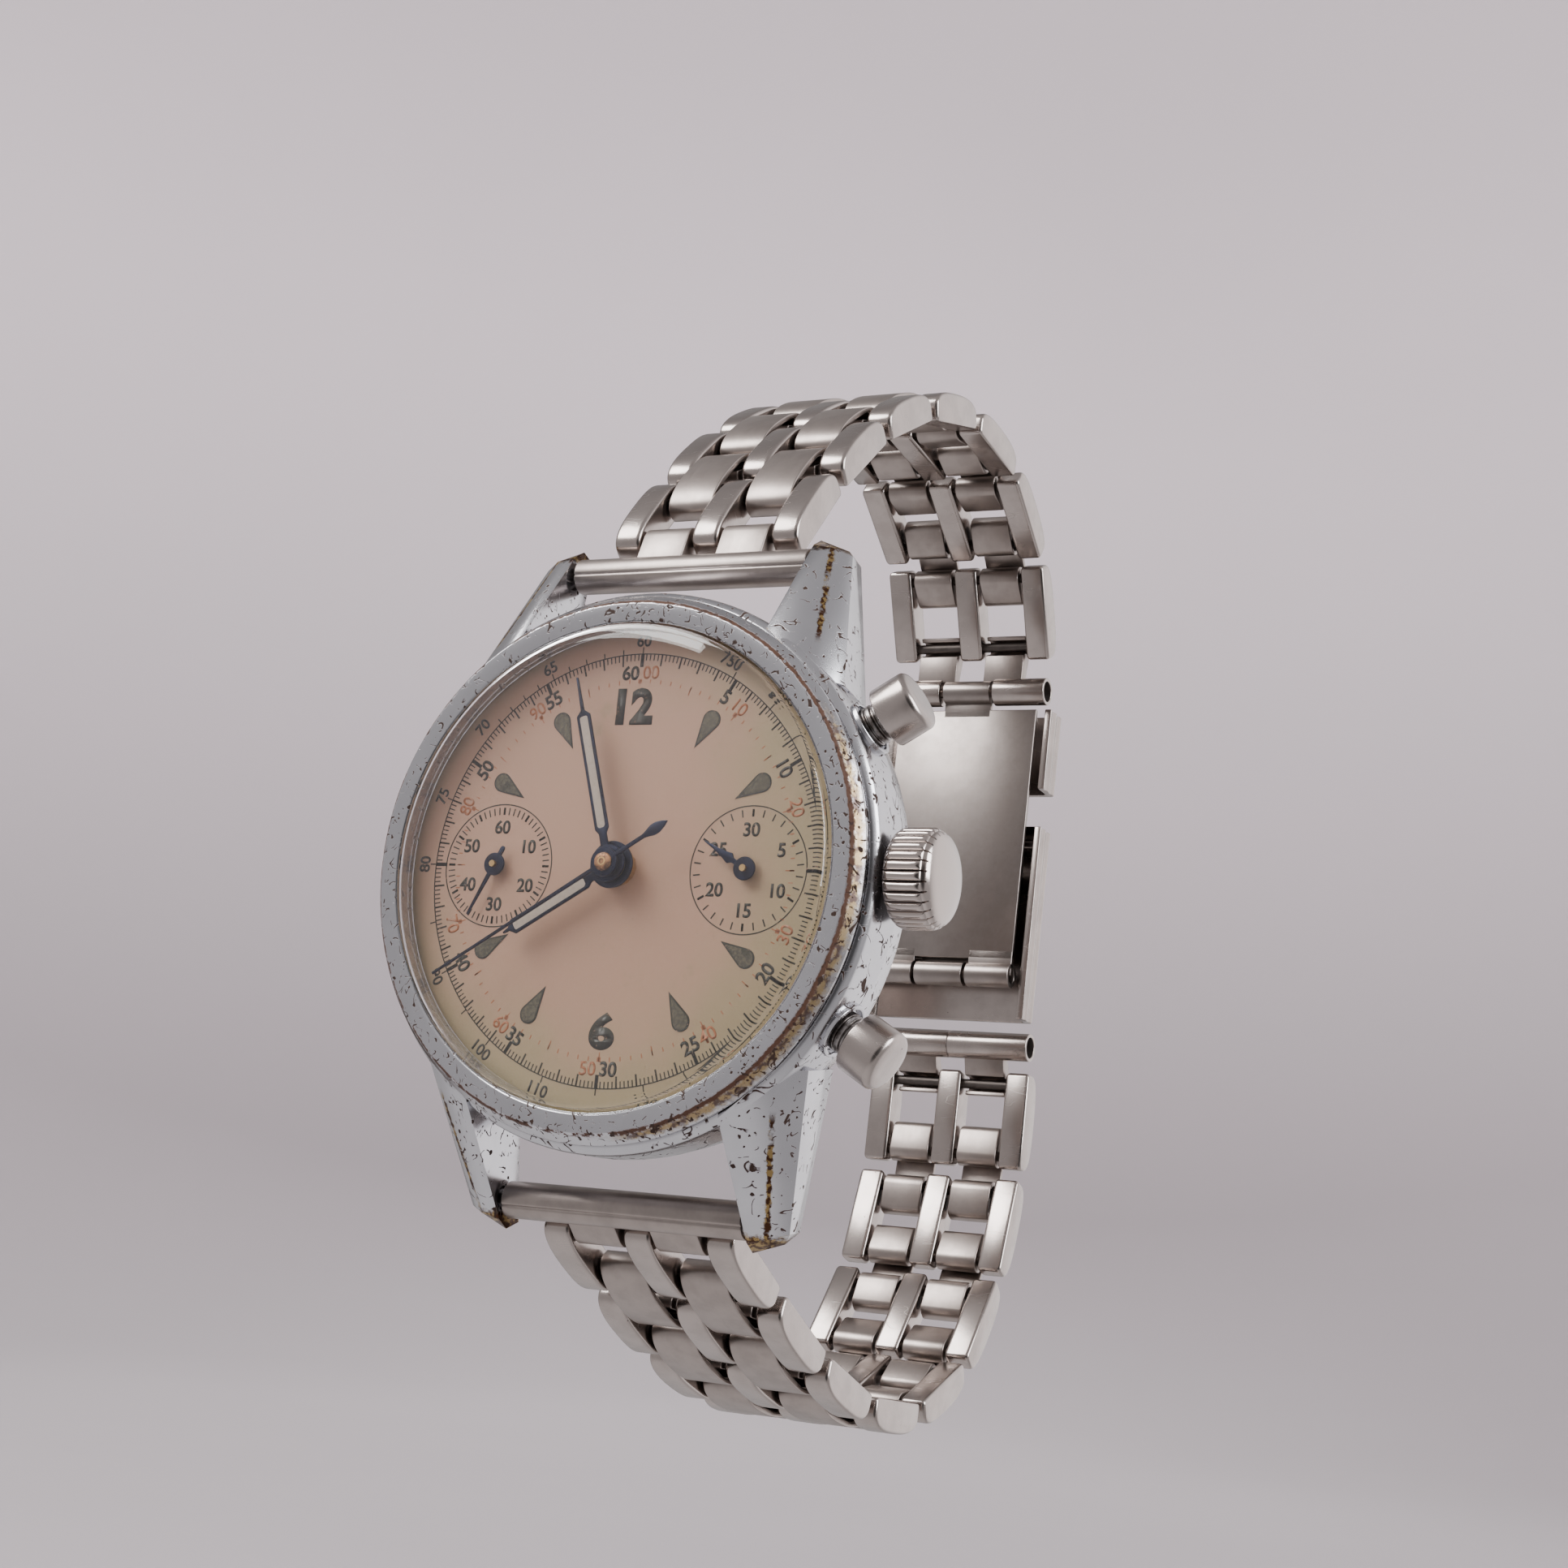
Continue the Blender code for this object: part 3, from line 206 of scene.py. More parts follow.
class Finish:
    """A procedural material around one Principled shader."""

    def __init__(self, name, **constants):
        self.material = bpy.data.materials.new(name)
        self.material.use_nodes = True
        self.tree = self.material.node_tree
        self.tree.nodes.clear()
        self.output = self.tree.nodes.new("ShaderNodeOutputMaterial")
        self.shader = self.node("BsdfPrincipled", {}, **constants)
        self.join(self.shader.outputs[0], self.output.inputs["Surface"])

    def join(self, source, target):
        """Link a wire, or set a plain value."""
        if isinstance(source, Wire):
            source = source.socket
        if isinstance(source, bpy.types.NodeSocket):
            self.tree.links.new(source, target)
        elif hasattr(source, "__len__") and len(source) == 3 and target.type == "RGBA":
            target.default_value = (*source, 1.0)
        else:
            target.default_value = source

    def node(self, kind, settings, **sockets):
        """A node of a kind, its settings first, then the values of its sockets."""
        made = self.tree.nodes.new("ShaderNode" + kind)
        for key, value in settings.items():
            if key == "stops":
                ramp = made.color_ramp
                while len(ramp.elements) < len(value):
                    ramp.elements.new(0.5)
                for element, (place, colour) in zip(ramp.elements, value):
                    element.position = place
                    element.color = (*colour, 1.0)
            else:
                setattr(made, key, value)
        for key, value in sockets.items():
            self.join(value, made.inputs[int(key[1:]) if key[0] == "_" else key.replace("_", " ")])
        return made

    def wire(self, node, output=0):
        """An output of a node, for sums."""
        return Wire(self.tree, node.outputs[output])

    def spot(self, scale=(1, 1, 1), shift=(0, 0, 0)):
        """Object coordinates in millimetres, stretched and shifted."""
        place = self.node("TexCoord", {})
        mapping = self.node("Mapping", {}, Vector=place.outputs["Object"],
                            Scale=[factor / MM for factor in scale], Location=shift)
        return mapping.outputs[0]

    def noise(self, per_mm, detail=4.0, rough=0.55, stretch=(1, 1, 1), shift=0.0, twist=0.0):
        """Noise of so many waves in a millimetre."""
        made = self.node("TexNoise", {}, Vector=self.spot(stretch, (shift, shift * 0.7, -shift)),
                         Scale=per_mm, Detail=detail, Roughness=rough, Distortion=twist)
        return self.wire(made)

    def cells(self, per_mm, shift=0.0, stretch=(1, 1, 1)):
        """Distance to scattered points, and a random number for each of them."""
        made = self.node("TexVoronoi", {}, Vector=self.spot(stretch, (shift, shift, shift)),
                         Scale=per_mm, Randomness=1.0)
        number = self.node("SeparateColor", {}, Color=made.outputs["Color"])
        return self.wire(made), self.wire(number)

    def ease(self, value, low, high):
        """0 below low, 1 above high, smooth between."""
        made = self.node("MapRange", {"interpolation_type": "SMOOTHSTEP"}, Value=value,
                         From_Min=low, From_Max=high)
        return self.wire(made)

    def blend(self, share, first, second):
        """A mix of two colours."""
        made = self.tree.nodes.new("ShaderNodeMix")
        made.data_type = "RGBA"
        self.join(share, made.inputs[0])
        self.join(first, made.inputs[6])
        self.join(second, made.inputs[7])
        return made.outputs[2]

    def clouded(self, cloud, name, factor, share, low=0.35):
        """A named colour, toned by a factor where the cloud is thick."""
        return self.blend(self.ease(cloud, low, 0.7) * share, getattr(colours(), name),
                          toned(name, factor))

    def pits(self, per_mm, size, kept, shift=0.0):
        """Small scattered spots: their width, and the share of the places that have one."""
        distance, number = self.cells(per_mm, shift)
        ragged = distance + (self.noise(per_mm * 5, 2.0) - 0.5) * size * 1.2
        return (1.0 - self.ease(ragged, size * 0.75, size)) * (number < kept)

    def scratches(self, per_mm, width, stretch=(1, 1, 1), shift=0.0, twist=0.6):
        """Thin wandering lines."""
        field = self.noise(per_mm, 1.5, 0.4, stretch, shift, twist)
        return 1.0 - self.ease(abs(field - 0.5), width * 0.3, width)

    def chips(self, place, seeds, large, small):
        """Pits of two sizes where a mask keeps them; large and small are (width, share)."""
        return self.pits(1.0, large[0], place * large[1], seeds[0]).highest(
            self.pits(2.1, small[0], place * small[1], seeds[1]))

    def nicks(self, per_mm, width, kept, shift=0.0):
        """Short dark cuts: pieces of thin lines, in the few places that a mask keeps."""
        line = self.scratches(per_mm, width, (1, 1, 1), shift, 1.0)
        place = self.noise(per_mm * 2.4, 2.0, 0.5, shift=shift + 3.0)
        return line * self.ease(place, kept, kept + 0.03)

    def relief(self, height, depth_mm, strength=1.0):
        """Bump from a height of 0 to 1."""
        made = self.node("Bump", {}, Height=height, Strength=strength, Distance=depth_mm * MM)
        self.join(made.outputs[0], self.shader.inputs["Normal"])

    def watch_polar(self):
        """Radius in millimetres in the watch's frame, with x and y."""
        split = self.node("SeparateXYZ", {}, Vector=self.spot())
        across, up = self.wire(split, 0), self.wire(split, 2)
        return (across * across + up * up) ** 0.5, across, up

    def done(self, base=None, rough=None, metal=None, coat=None):
        """Set what varies over the surface."""
        for value, key in ((base, "Base Color"), (rough, "Roughness"), (metal, "Metallic"),
                           (coat, "Coat Weight")):
            if value is not None:
                self.join(value, self.shader.inputs[key])
        return self.material


MADE = {}


def finish(maker):
    """A material, made once."""
    if maker.__name__ not in MADE:
        MADE[maker.__name__] = maker()
    return MADE[maker.__name__]


def bright_chrome():
    """Chrome plate with faint hairlines, pits and short cuts down to dark dirt."""
    make = Finish("bright_chrome", Metallic=1.0)
    cloud = make.noise(0.30, 4.0, 0.6)
    fine = make.noise(2.2, 3.0, 0.6, shift=4.0)
    hair = make.scratches(0.34, 0.0035, (1, 1, 2.0), 3.0, 0.2) * make.ease(
        make.noise(0.4, 2.0, shift=15.0), 0.48, 0.56)
    place = make.ease(make.noise(0.20, 3.0, 0.6, shift=2.0), 0.46, 0.60)
    cuts = make.nicks(0.60, 0.026, 0.53, 7.0).highest(make.nicks(0.38, 0.016, 0.52, 19.0))
    dark = make.chips(place, (5.0, 9.0), (0.19, 0.46), (0.21, 0.34)).highest(cuts)
    base = make.clouded(cloud, "chrome", 0.84, 0.45)
    base = make.blend(dark, base, colours().grime)
    make.relief(1.0 - hair * 0.12 - dark, 0.02, 0.25)
    return make.done(base, 0.13 + cloud * 0.12 + fine * 0.05 + hair * 0.10 + dark * 0.6,
                     1.0 - dark * 0.9)


def lug_chrome():
    """Lug plate: brass and brown along the outer ridge and at the tips, pits between."""
    make = Finish("lug_chrome", Metallic=1.0)
    across, up = make.watch_polar()[1:]
    ragged = (make.noise(2.2, 4.0, 0.7) - 0.5) * 0.5
    ridge = 12.5 - (abs(up) - 12.1) * 0.212
    near = 1.0 - make.ease(abs(abs(across) - ridge + 0.03) + ragged, 0.10, 0.20)
    near = near * make.ease(make.noise(0.7, 3.0, 0.6, shift=4.0), 0.34, 0.44)
    near = near * make.ease(abs(up), 14.4, 15.2)
    tip = make.ease(abs(up) + ragged * 2.0, 21.7, 22.1)
    cloud = make.noise(0.30, 4.0, 0.6)
    place = make.ease(make.noise(0.20, 3.0, 0.6, shift=2.0) + (0.0 - up) * 0.003, 0.46, 0.60)
    dark = make.chips(place, (5.0, 9.0), (0.19, 0.44), (0.21, 0.32)).highest(
        make.nicks(0.60, 0.026, 0.53, 7.0))
    brown = make.ease(make.noise(2.4, 3.0, shift=8.0), 0.42, 0.54)
    base = make.clouded(cloud, "chrome", 0.84, 0.45)
    worn = make.blend(brown, colours().brass, toned("grime", 2.0))
    base = make.blend(near.highest(tip), base, worn)
    base = make.blend(dark, base, colours().grime)
    make.relief(1.0 - dark - near * 0.4, 0.02, 0.25)
    return make.done(base, 0.14 + cloud * 0.13 + near * 0.25 + dark * 0.6, 1.0 - dark * 0.9)


def worn_edge():
    """Lug edges: brass shows at the tips, and dark worn lines run along the ridges."""
    make = Finish("worn_edge", Metallic=1.0)
    across, up = make.watch_polar()[1:]
    tip = make.ease(abs(up) + (make.noise(1.4, 3.0) - 0.5) * 1.2, 21.0, 21.6)
    patch = make.ease(make.noise(0.40, 4.0, 0.65, shift=4.0) + up * 0.004, 0.44, 0.54)
    fleck = make.ease(make.noise(3.0, 3.0, 0.7), 0.36, 0.50)
    gone = (patch * fleck).highest(tip)
    base = make.blend(gone, toned("chrome", 1.05), colours().brass)
    brown = (gone * make.ease(make.noise(2.4, 3.0, shift=8.0), 0.46, 0.56)).highest(
        make.pits(1.7, 0.30, 0.45, 6.0))
    base = make.blend(brown, base, colours().grime)
    make.relief(1.0 - gone * 0.5 - brown * 0.5, 0.015, 0.3)
    return make.done(base, 0.17 + gone * 0.20 + brown * 0.25, 1.0 - brown * 0.6)


def bezel_chrome():
    """Bezel plate: a pitted brown line on the ridge, brass below it from 2 to 6 o'clock."""
    make = Finish("bezel_chrome", Metallic=1.0)
    radius, across, up = make.watch_polar()
    ragged = (make.noise(2.6, 5.0, 0.72) - 0.5) * 0.7
    broad = make.noise(0.28, 3.0, 0.6, shift=2.0)
    cloud = make.noise(0.4, 4.0, 0.6, shift=12.0)
    four = make.ease((across * 0.93 - up * 0.37) / radius, 0.30, 0.90)
    two = make.ease((across * 0.72 + up * 0.70) / radius, 0.40, 0.95)
    eight = make.ease((0.0 - across * 0.82 - up * 0.57) / radius, 0.86, 0.99)
    line = 1.0 - make.ease(abs(radius - 16.86) + ragged * 0.40, 0.06, 0.12 + broad * 0.10)
    line = line * make.ease(make.noise(0.75, 4.0, 0.7, shift=5.0) + four * 0.14 + two * 0.12,
                            0.44, 0.50)
    slope = 1.0 - make.ease(abs(radius - 17.10) + ragged, 0.04, 0.10 + four * 0.34)
    band = slope * make.ease(four + (broad - 0.5) * 0.8, 0.20, 0.62)
    burn = eight * (1.0 - make.ease(abs(radius - 17.22) + ragged, 0.10, 0.42))
    place = make.ease(cloud + two * 0.20 + four * 0.14, 0.50, 0.68)
    chips = make.chips(place, (1.0, 6.0), (0.19, 0.50), (0.23, 0.40))
    cuts = make.nicks(0.60, 0.026, 0.53, 9.0).highest(make.nicks(0.9, 0.032, 0.54, 21.0))
    base = make.clouded(cloud, "chrome", 0.82, 0.45, 0.3)
    worn = make.blend(make.ease(make.noise(1.5, 4.0, 0.7, shift=5.0), 0.46, 0.58),
                      colours().brass, toned("grime", 2.2))
    base = make.blend(band * 0.9, base, worn)
    dark = chips.highest(burn).highest(cuts)
    base = make.blend(line, base, toned("grime", 2.4))
    base = make.blend(dark, base, colours().grime)
    dark = dark.highest(line)
    make.relief(1.0 - dark * 0.8 - band * 0.3, 0.025, 0.3)
    rough = 0.14 + cloud * 0.12 + band * 0.20 + dark * 0.40
    return make.done(base, rough, 1.0 - dark * 0.75)


def polished_steel():
    """Warm polished steel with soft smears, a few hairlines and grime specks."""
    make = Finish("polished_steel", Metallic=1.0)
    smear = make.noise(0.45, 4.0, 0.6)
    hair = make.scratches(0.5, 0.005, (0.5, 1.6, 1.6), 2.0) * make.ease(
        make.noise(0.5, 2.0, shift=8.0), 0.48, 0.56)
    dirt = make.pits(1.8, 0.10, 0.08, 4.0)
    base = make.clouded(smear, "steel", 0.78, 0.6)
    base = make.blend(dirt * 0.7, base, colours().grime)
    make.relief(make.noise(0.8, 2.0, 0.5, shift=6.0) * 0.6 - hair * 0.10, 0.010, 0.45)
    return make.done(base, 0.17 + smear * 0.14 + hair * 0.10 + dirt * 0.3)


def satin_of(name, streaks):
    """Brushed steel with fine streaks along the stretched axes."""
    make = Finish(name, Metallic=1.0)
    streak = make.noise(6.0, 3.0, 0.7, streaks)
    smear = make.noise(0.6, 3.0, 0.6, shift=5.0)
    base = make.clouded(smear, "satin", 0.76, 0.6)
    make.relief(streak, 0.010, 0.5)
    return make.done(base, 0.27 + streak * 0.12 + smear * 0.08)


def satin_steel():
    """Inner links, brushed along the band."""
    return satin_of("satin_steel", (1.0, 0.07, 0.07))


def bar_steel():
    """End bars, drawn along their length."""
    return satin_of("bar_steel", (0.05, 1.0, 1.0))


def blade_steel():
    """Plain rolled sheet of the folding blades, rubbed, slightly cloudy and darkened by painted
    shade.
    """
    make = Finish("blade_steel", Metallic=1.0)
    smear = make.noise(0.35, 5.0, 0.65)
    streak = make.noise(4.0, 3.0, 0.7, (1.0, 0.05, 0.05), 3.0)
    share = make.ease(smear, 0.35, 0.68) * 0.6
    # Painted shade: both tones are darker copies of the bracelet steel; the clouding between them
    # is the sheet's own.
    base = make.blend(share, toned("steel", 0.74), toned("steel", 0.50))
    make.relief(streak, 0.008, 0.4)
    return make.done(base, 0.22 + smear * 0.16 + streak * 0.05)


def mottled(name, metal, grain, edges, colour_pair, rough, bump=0.0):
    """Metal that changes between two colours in spots, and in gloss with them."""
    make = Finish(name, Metallic=metal)
    spots = make.noise(*grain)
    base = make.blend(make.ease(spots, *edges) if edges else spots, *colour_pair)
    if bump:
        make.relief(spots, bump, 0.7)
    return make.done(base, rough[0] + spots * rough[1])


def stem_steel():
    """Darker worn steel of the pusher stems."""
    return mottled("stem_steel", 1.0, (1.4, 4.0, 0.6), (0.4, 0.65),
                   ((0.36, 0.34, 0.33), (0.12, 0.10, 0.09)), (0.24, 0.2))


def dark_gap():
    """Steel darkened inside joints and rolled tubes, mottled: painted shade in these hollows."""
    return mottled("dark_gap", 0.9, (1.2, 4.0, 0.6), None,
                   ((0.06, 0.05, 0.045), (0.17, 0.15, 0.14)), (0.35, 0.25))


def old_bronze():
    """Tarnished bronze of the centre pin and the small hubs' pins."""
    return mottled("old_bronze", 0.9, (2.6, 4.0, 0.7), (0.38, 0.62),
                   ((0.42, 0.22, 0.11), (0.10, 0.055, 0.035)), (0.35, 0.25), 0.02)


def crown_steel():
    """Polished steel of the crown, with dirt down in the flutes."""
    make = Finish("crown_steel", Metallic=1.0)
    split = make.node("SeparateXYZ", {}, Vector=make.spot())
    deep, up = (make.wire(split, index) for index in (1, 2))
    off_axis = ((deep + BACK_DEPTH + STEM_LEVEL) ** 2.0 + up * up) ** 0.5
    along = make.wire(split)
    smear = make.noise(0.5, 3.0, 0.6)
    dirt = (1.0 - make.ease(off_axis, 2.76, 2.98)) * (1.0 - make.ease(along, 20.75, 20.95))
    base = make.blend(smear * 0.4, toned("steel", 1.15), colours().steel)
    base = make.blend(dirt * 0.9, base, (0.05, 0.04, 0.035))
    return make.done(base, 0.11 + smear * 0.12 + dirt * 0.35, 1.0 - dirt * 0.5)


def dial_lacquer():
    """Aged lacquer: salmon in the middle, greenish cream towards the lower right edge."""
    make = Finish("dial_lacquer", Specular_IOR_Level=0.35)
    radius, across, up = make.watch_polar()
    broad = make.noise(0.09, 4.0, 0.6)
    lean = (across * 0.55 - up * 0.45) / 16.0
    age = radius / 15.4 + lean * 0.55 + (broad - 0.5) * 1.1
    base = make.blend(make.ease(age, 0.45, 1.15), colours().salmon, colours().cream)
    rim = make.ease(radius + (broad - 0.5) * 1.2, 14.4, 15.6)
    base = make.blend(rim * 0.55, base, (0.17, 0.14, 0.07))
    stain = make.ease(make.noise(0.22, 5.0, 0.7, shift=9.0), 0.60, 0.74)
    base = make.blend(stain * 0.4, base, (0.18, 0.155, 0.075))
    speck = make.pits(1.9, 0.085, 0.22, 3.0).highest(make.pits(4.4, 0.10, 0.16, 8.0))
    outward = (radius / 15.4) ** 3 * 0.12
    speck = speck * make.ease(make.noise(0.3, 2.0, shift=1.0) + outward, 0.42, 0.6)
    base = make.blend(speck * 0.6, base, (0.16, 0.11, 0.06))
    grain = make.noise(9.0, 2.0, 0.5)
    base = make.blend(make.ease(grain, 0.35, 0.65) * 0.06, base, (0.50, 0.40, 0.30))
    make.relief(grain * 0.4 - speck * 0.6, 0.006, 0.5)
    return make.done(base, 0.42 + broad * 0.12 + speck * 0.2)


def ink_of(name, colour, worn, shift):
    """Printing that is rubbed thin in places."""
    make = Finish(name, Specular_IOR_Level=0.35)
    thin = make.ease(make.noise(1.3, 4.0, 0.7, shift=shift), worn, worn + 0.10)
    grain = make.ease(make.noise(7.0, 2.0, 0.6, shift=shift), 0.64, 0.72)
    base = make.blend((thin * 0.75).highest(grain * 0.6), colour, colours().salmon)
    return make.done(base, 0.45 + grain * 0.1)


def dark_ink():
    """Dark printing."""
    return ink_of("dark_ink", colours().ink, 0.63, 2.0)


def red_ink():
    """Red printing, more faded than the dark."""
    return ink_of("red_ink", colours().red_ink, 0.56, 5.0)


def marker_fill():
    """Aged fill of the markers: olive grey, grainy."""
    make = Finish("marker_fill", Specular_IOR_Level=0.3)
    grain = make.noise(5.0, 4.0, 0.7)
    broad = make.noise(0.8, 3.0, 0.6, shift=3.0)
    base = make.blend(make.ease(grain, 0.4, 0.65) * 0.5, colours().lume, (0.15, 0.125, 0.075))
    base = make.blend(make.ease(broad, 0.60, 0.68) * 0.7, base, (0.02, 0.02, 0.015))
    make.relief(grain, 0.01, 0.7)
    return make.done(base, 0.6 + grain * 0.15)


def hand_fill():
    """Aged pale fill of the hour and minute hands."""
    make = Finish("hand_fill", Specular_IOR_Level=0.3)
    grain = make.noise(4.0, 4.0, 0.7)
    base = make.blend(make.ease(grain, 0.4, 0.7) * 0.5, colours().hand_fill, (0.27, 0.22, 0.18))
    make.relief(grain, 0.012, 0.6)
    return make.done(base, 0.6 + grain * 0.2)


def blued_steel():
    """Heat-blued steel, rubbed dark with a few rust flecks."""
    make = Finish("blued_steel", Metallic=0.85)
    cloud = make.noise(0.9, 4.0, 0.65)
    fleck = make.pits(2.6, 0.12, 0.14, 2.0)
    base = make.blend(make.ease(cloud, 0.35, 0.7), colours().blue, (0.016, 0.018, 0.028))
    base = make.blend(fleck * 0.7, base, (0.10, 0.05, 0.03))
    make.relief(cloud - fleck, 0.006, 0.4)
    return make.done(base, 0.26 + cloud * 0.16 + fleck * 0.3)


def brushed_brass():
    """Fine-brushed brass of the works."""
    make = Finish("brushed_brass", Metallic=1.0)
    streak = make.noise(5.0, 3.0, 0.7, (1, 1, 0.08))
    broad = make.noise(0.3, 3.0, 0.6)
    base = make.blend(make.ease(broad, 0.3, 0.7), (0.66, 0.47, 0.20), (0.52, 0.36, 0.15))
    make.relief(streak, 0.008, 0.5)
    return make.done(base, 0.26 + streak * 0.14)


def brushed_back():
    """Case back: satin steel brushed in circles, with wear scratches."""
    make = Finish("brushed_back", Metallic=1.0)
    radius = make.watch_polar()[0]
    rings = make.node("TexNoise", {"noise_dimensions": "1D"}, W=radius * 7.0, Scale=1.0,
                      Detail=4.0)
    grain = make.wire(rings)
    smear = make.noise(0.25, 4.0, 0.6)
    hair = make.scratches(0.35, 0.008, (1, 1, 1.8), 3.0).highest(
        make.scratches(0.5, 0.008, (1.8, 1, 1), 9.0))
    base = make.clouded(smear, "steel", 0.8, 0.5, 0.3)
    make.relief(grain - hair * 0.6, 0.012, 0.5)
    return make.done(base, 0.24 + grain * 0.12 + hair * 0.1)


def clear_acrylic():
    """Clear domed crystal that lets lamps through."""
    make = Finish("clear_acrylic", Transmission_Weight=1.0, IOR=1.49,
                  Base_Color=(0.97, 0.975, 0.96))
    hair = make.scratches(0.28, 0.006, (1, 1, 1.5), 6.0)
    make.done(rough=0.01 + hair * 0.03)
    path = make.node("LightPath", {})
    open_air = make.node("BsdfTransparent", {}, Color=(0.95, 0.955, 0.94))
    mixed = make.node("MixShader", {}, _0=path.outputs["Is Shadow Ray"],
                      _1=make.shader.outputs[0], _2=open_air.outputs[0])
    make.join(mixed.outputs[0], make.output.inputs["Surface"])
    return make.material


def studio_paper():
    """Matt pale paper with a faint tooth and soft clouding; painted light: dark floor, bright wall.
    """
    make = Finish("studio_paper", Specular_IOR_Level=0.1)
    broad = make.noise(0.004, 3.0, 0.5)
    tooth = make.noise(0.8, 3.0, 0.6)
    height = make.wire(make.node("SeparateXYZ", {}, Vector=make.spot()), 2)
    # Painted light: the paper's colour runs from dark on the floor to bright high up the wall.
    painted_light_ramp = make.ease(height, -90.0, 420.0)
    base = make.blend(painted_light_ramp, toned("floor", 0.56), toned("floor", 1.62))
    base = make.blend(broad * 0.25, base, toned("floor", 0.90))
    make.relief(tooth, 0.05, 0.12)
    return make.done(base, 0.85 + tooth * 0.1)


# ---- meshes -------------------------------------------------------------------------------
def fresh(name, work, sharp=32.0):
    """A mesh from a bmesh: doubles merged, faces outward, smooth with crisp edges."""
    bmesh.ops.remove_doubles(work, verts=work.verts, dist=1e-5)
    bmesh.ops.recalc_face_normals(work, faces=work.faces)
    mesh = bpy.data.meshes.new(name)
    work.to_mesh(mesh)
    work.free()
    mesh.shade_smooth()
    mesh.set_sharp_from_angle(angle=math.radians(sharp))
    return mesh


def eased(points, cut, count=4, closed=True):
    """An outline with its corners rounded; cut is one size or one for each corner."""
    total = len(points)
    made = []
    for index, point in enumerate(points):
        if not closed and index in (0, total - 1):
            made.append(tuple(point))
            continue
        here = Vector(point)
        before = Vector(points[index - 1]) - here
        after = Vector(points[(index + 1) % total]) - here
        size = cut[index] if hasattr(cut, "__len__") else cut
        size = min(size, 0.48 * before.length, 0.48 * after.length)
        if size < 1e-4:
            made.append(tuple(point))
            continue
        first = here + before.normalized() * size
        last = here + after.normalized() * size
        for step in range(count + 1):
            share = step / count
            spot = first * (1 - share) ** 2 + here * 2 * share * (1 - share) + last * share ** 2
            made.append(tuple(spot))
    return made


def disc_outline(radius, count):
    """Points of a circle."""
    return [(radius * math.cos(2 * math.pi * k / count), radius * math.sin(2 * math.pi * k / count))
            for k in range(count)]


def turned(name, profile, steps=None):
    """Turn a profile of (radius, height) about z; radius 0 at both ends closes a pole."""
    steps = steps or sizes().steps
    work = bmesh.new()
    rings = []
    for radius, height in profile:
        if radius < 1e-6:
            rings.append([work.verts.new((0, 0, height))])
            continue
        rings.append([work.verts.new((x, y, height)) for x, y in disc_outline(radius, steps)])
    pairs = list(zip(rings, rings[1:]))
    if profile[0][0] > 1e-6 and profile[-1][0] > 1e-6:
        pairs.append((rings[-1], rings[0]))
    for first, second in pairs:
        for k in range(steps):
            after = (k + 1) % steps
            corners = [first[k % len(first)], first[after % len(first)],
                       second[after % len(second)], second[k % len(second)]]
            unique = []
            for corner in corners:
                if corner not in unique:
                    unique.append(corner)
            if len(unique) > 2:
                work.faces.new(unique)
    return fresh(name, work)


def slab(name, outline, low, high):
    """An outline in x and y given a thickness along z."""
    work = bmesh.new()
    bottom = [work.verts.new((x, y, low)) for x, y in outline]
    top = [work.verts.new((x, y, high)) for x, y in outline]
    work.faces.new(bottom)
    work.faces.new(top)
    for index in range(len(outline)):
        after = (index + 1) % len(outline)
        work.faces.new((bottom[index], bottom[after], top[after], top[index]))
    return fresh(name, work)


def framed(name, outer, inner, low, high):
    """A flat frame between two outlines with the same number of points."""
    work = bmesh.new()
    rows = [[work.verts.new((x, y, level)) for x, y in outline]
            for outline, level in ((outer, high), (inner, high), (inner, low), (outer, low))]
    for first, second in zip(rows, rows[1:] + rows[:1]):
        for index in range(len(outer)):
            after = (index + 1) % len(outer)
            work.faces.new((first[index], first[after], second[after], second[index]))
    return fresh(name, work)


def wrapped(points):
    """The convex solid around points."""
    work = bmesh.new()
    for point in points:
        work.verts.new(point)
    made = bmesh.ops.convex_hull(work, input=work.verts)
    loose = [item for item in made["geom_interior"] if isinstance(item, bmesh.types.BMVert)]
    bmesh.ops.delete(work, geom=loose, context="VERTS")
    bmesh.ops.dissolve_limit(work, angle_limit=math.radians(1.0), verts=work.verts,
                             edges=work.edges)
    return fresh("wrapped", work)


def bar(low, high):
    """A block between two corners."""
    return wrapped([(x, y, z) for x in (low[0], high[0]) for y in (low[1], high[1])
                    for z in (low[2], high[2])])


def settled(mesh, matrix):
    """A mesh moved by a matrix in millimetres."""
    mesh.transform(matrix)
    if matrix.to_3x3().determinant() < 0:
        mesh.flip_normals()
    return mesh


def along_x(mesh):
    """Turn a mesh drawn in (y, z) and raised along its z so that it runs along x."""
    return settled(mesh, Matrix(((0, 0, 1, 0), (1, 0, 0, 0), (0, 1, 0, 0), (0, 0, 0, 1))))


def one_mesh(name, meshes):
    """Several closed shells in one mesh, with their materials' numbers."""
    work = bmesh.new()
    for mesh in meshes:
        work.from_mesh(mesh)
    mesh = bpy.data.meshes.new(name)
    work.to_mesh(mesh)
    work.free()
    return mesh


def plain(name, holder):
    """The evaluated mesh of an object; the object is removed."""
    bpy.context.view_layer.update()
    seen = holder.evaluated_get(bpy.context.evaluated_depsgraph_get())
    mesh = bpy.data.meshes.new_from_object(seen)
    mesh.name = name
    bpy.data.objects.remove(holder, do_unlink=True)
    return mesh


def held(name, mesh):
    """A mesh in a temporary object."""
    holder = bpy.data.objects.new(name, mesh)
    bpy.context.scene.collection.objects.link(holder)
    return holder


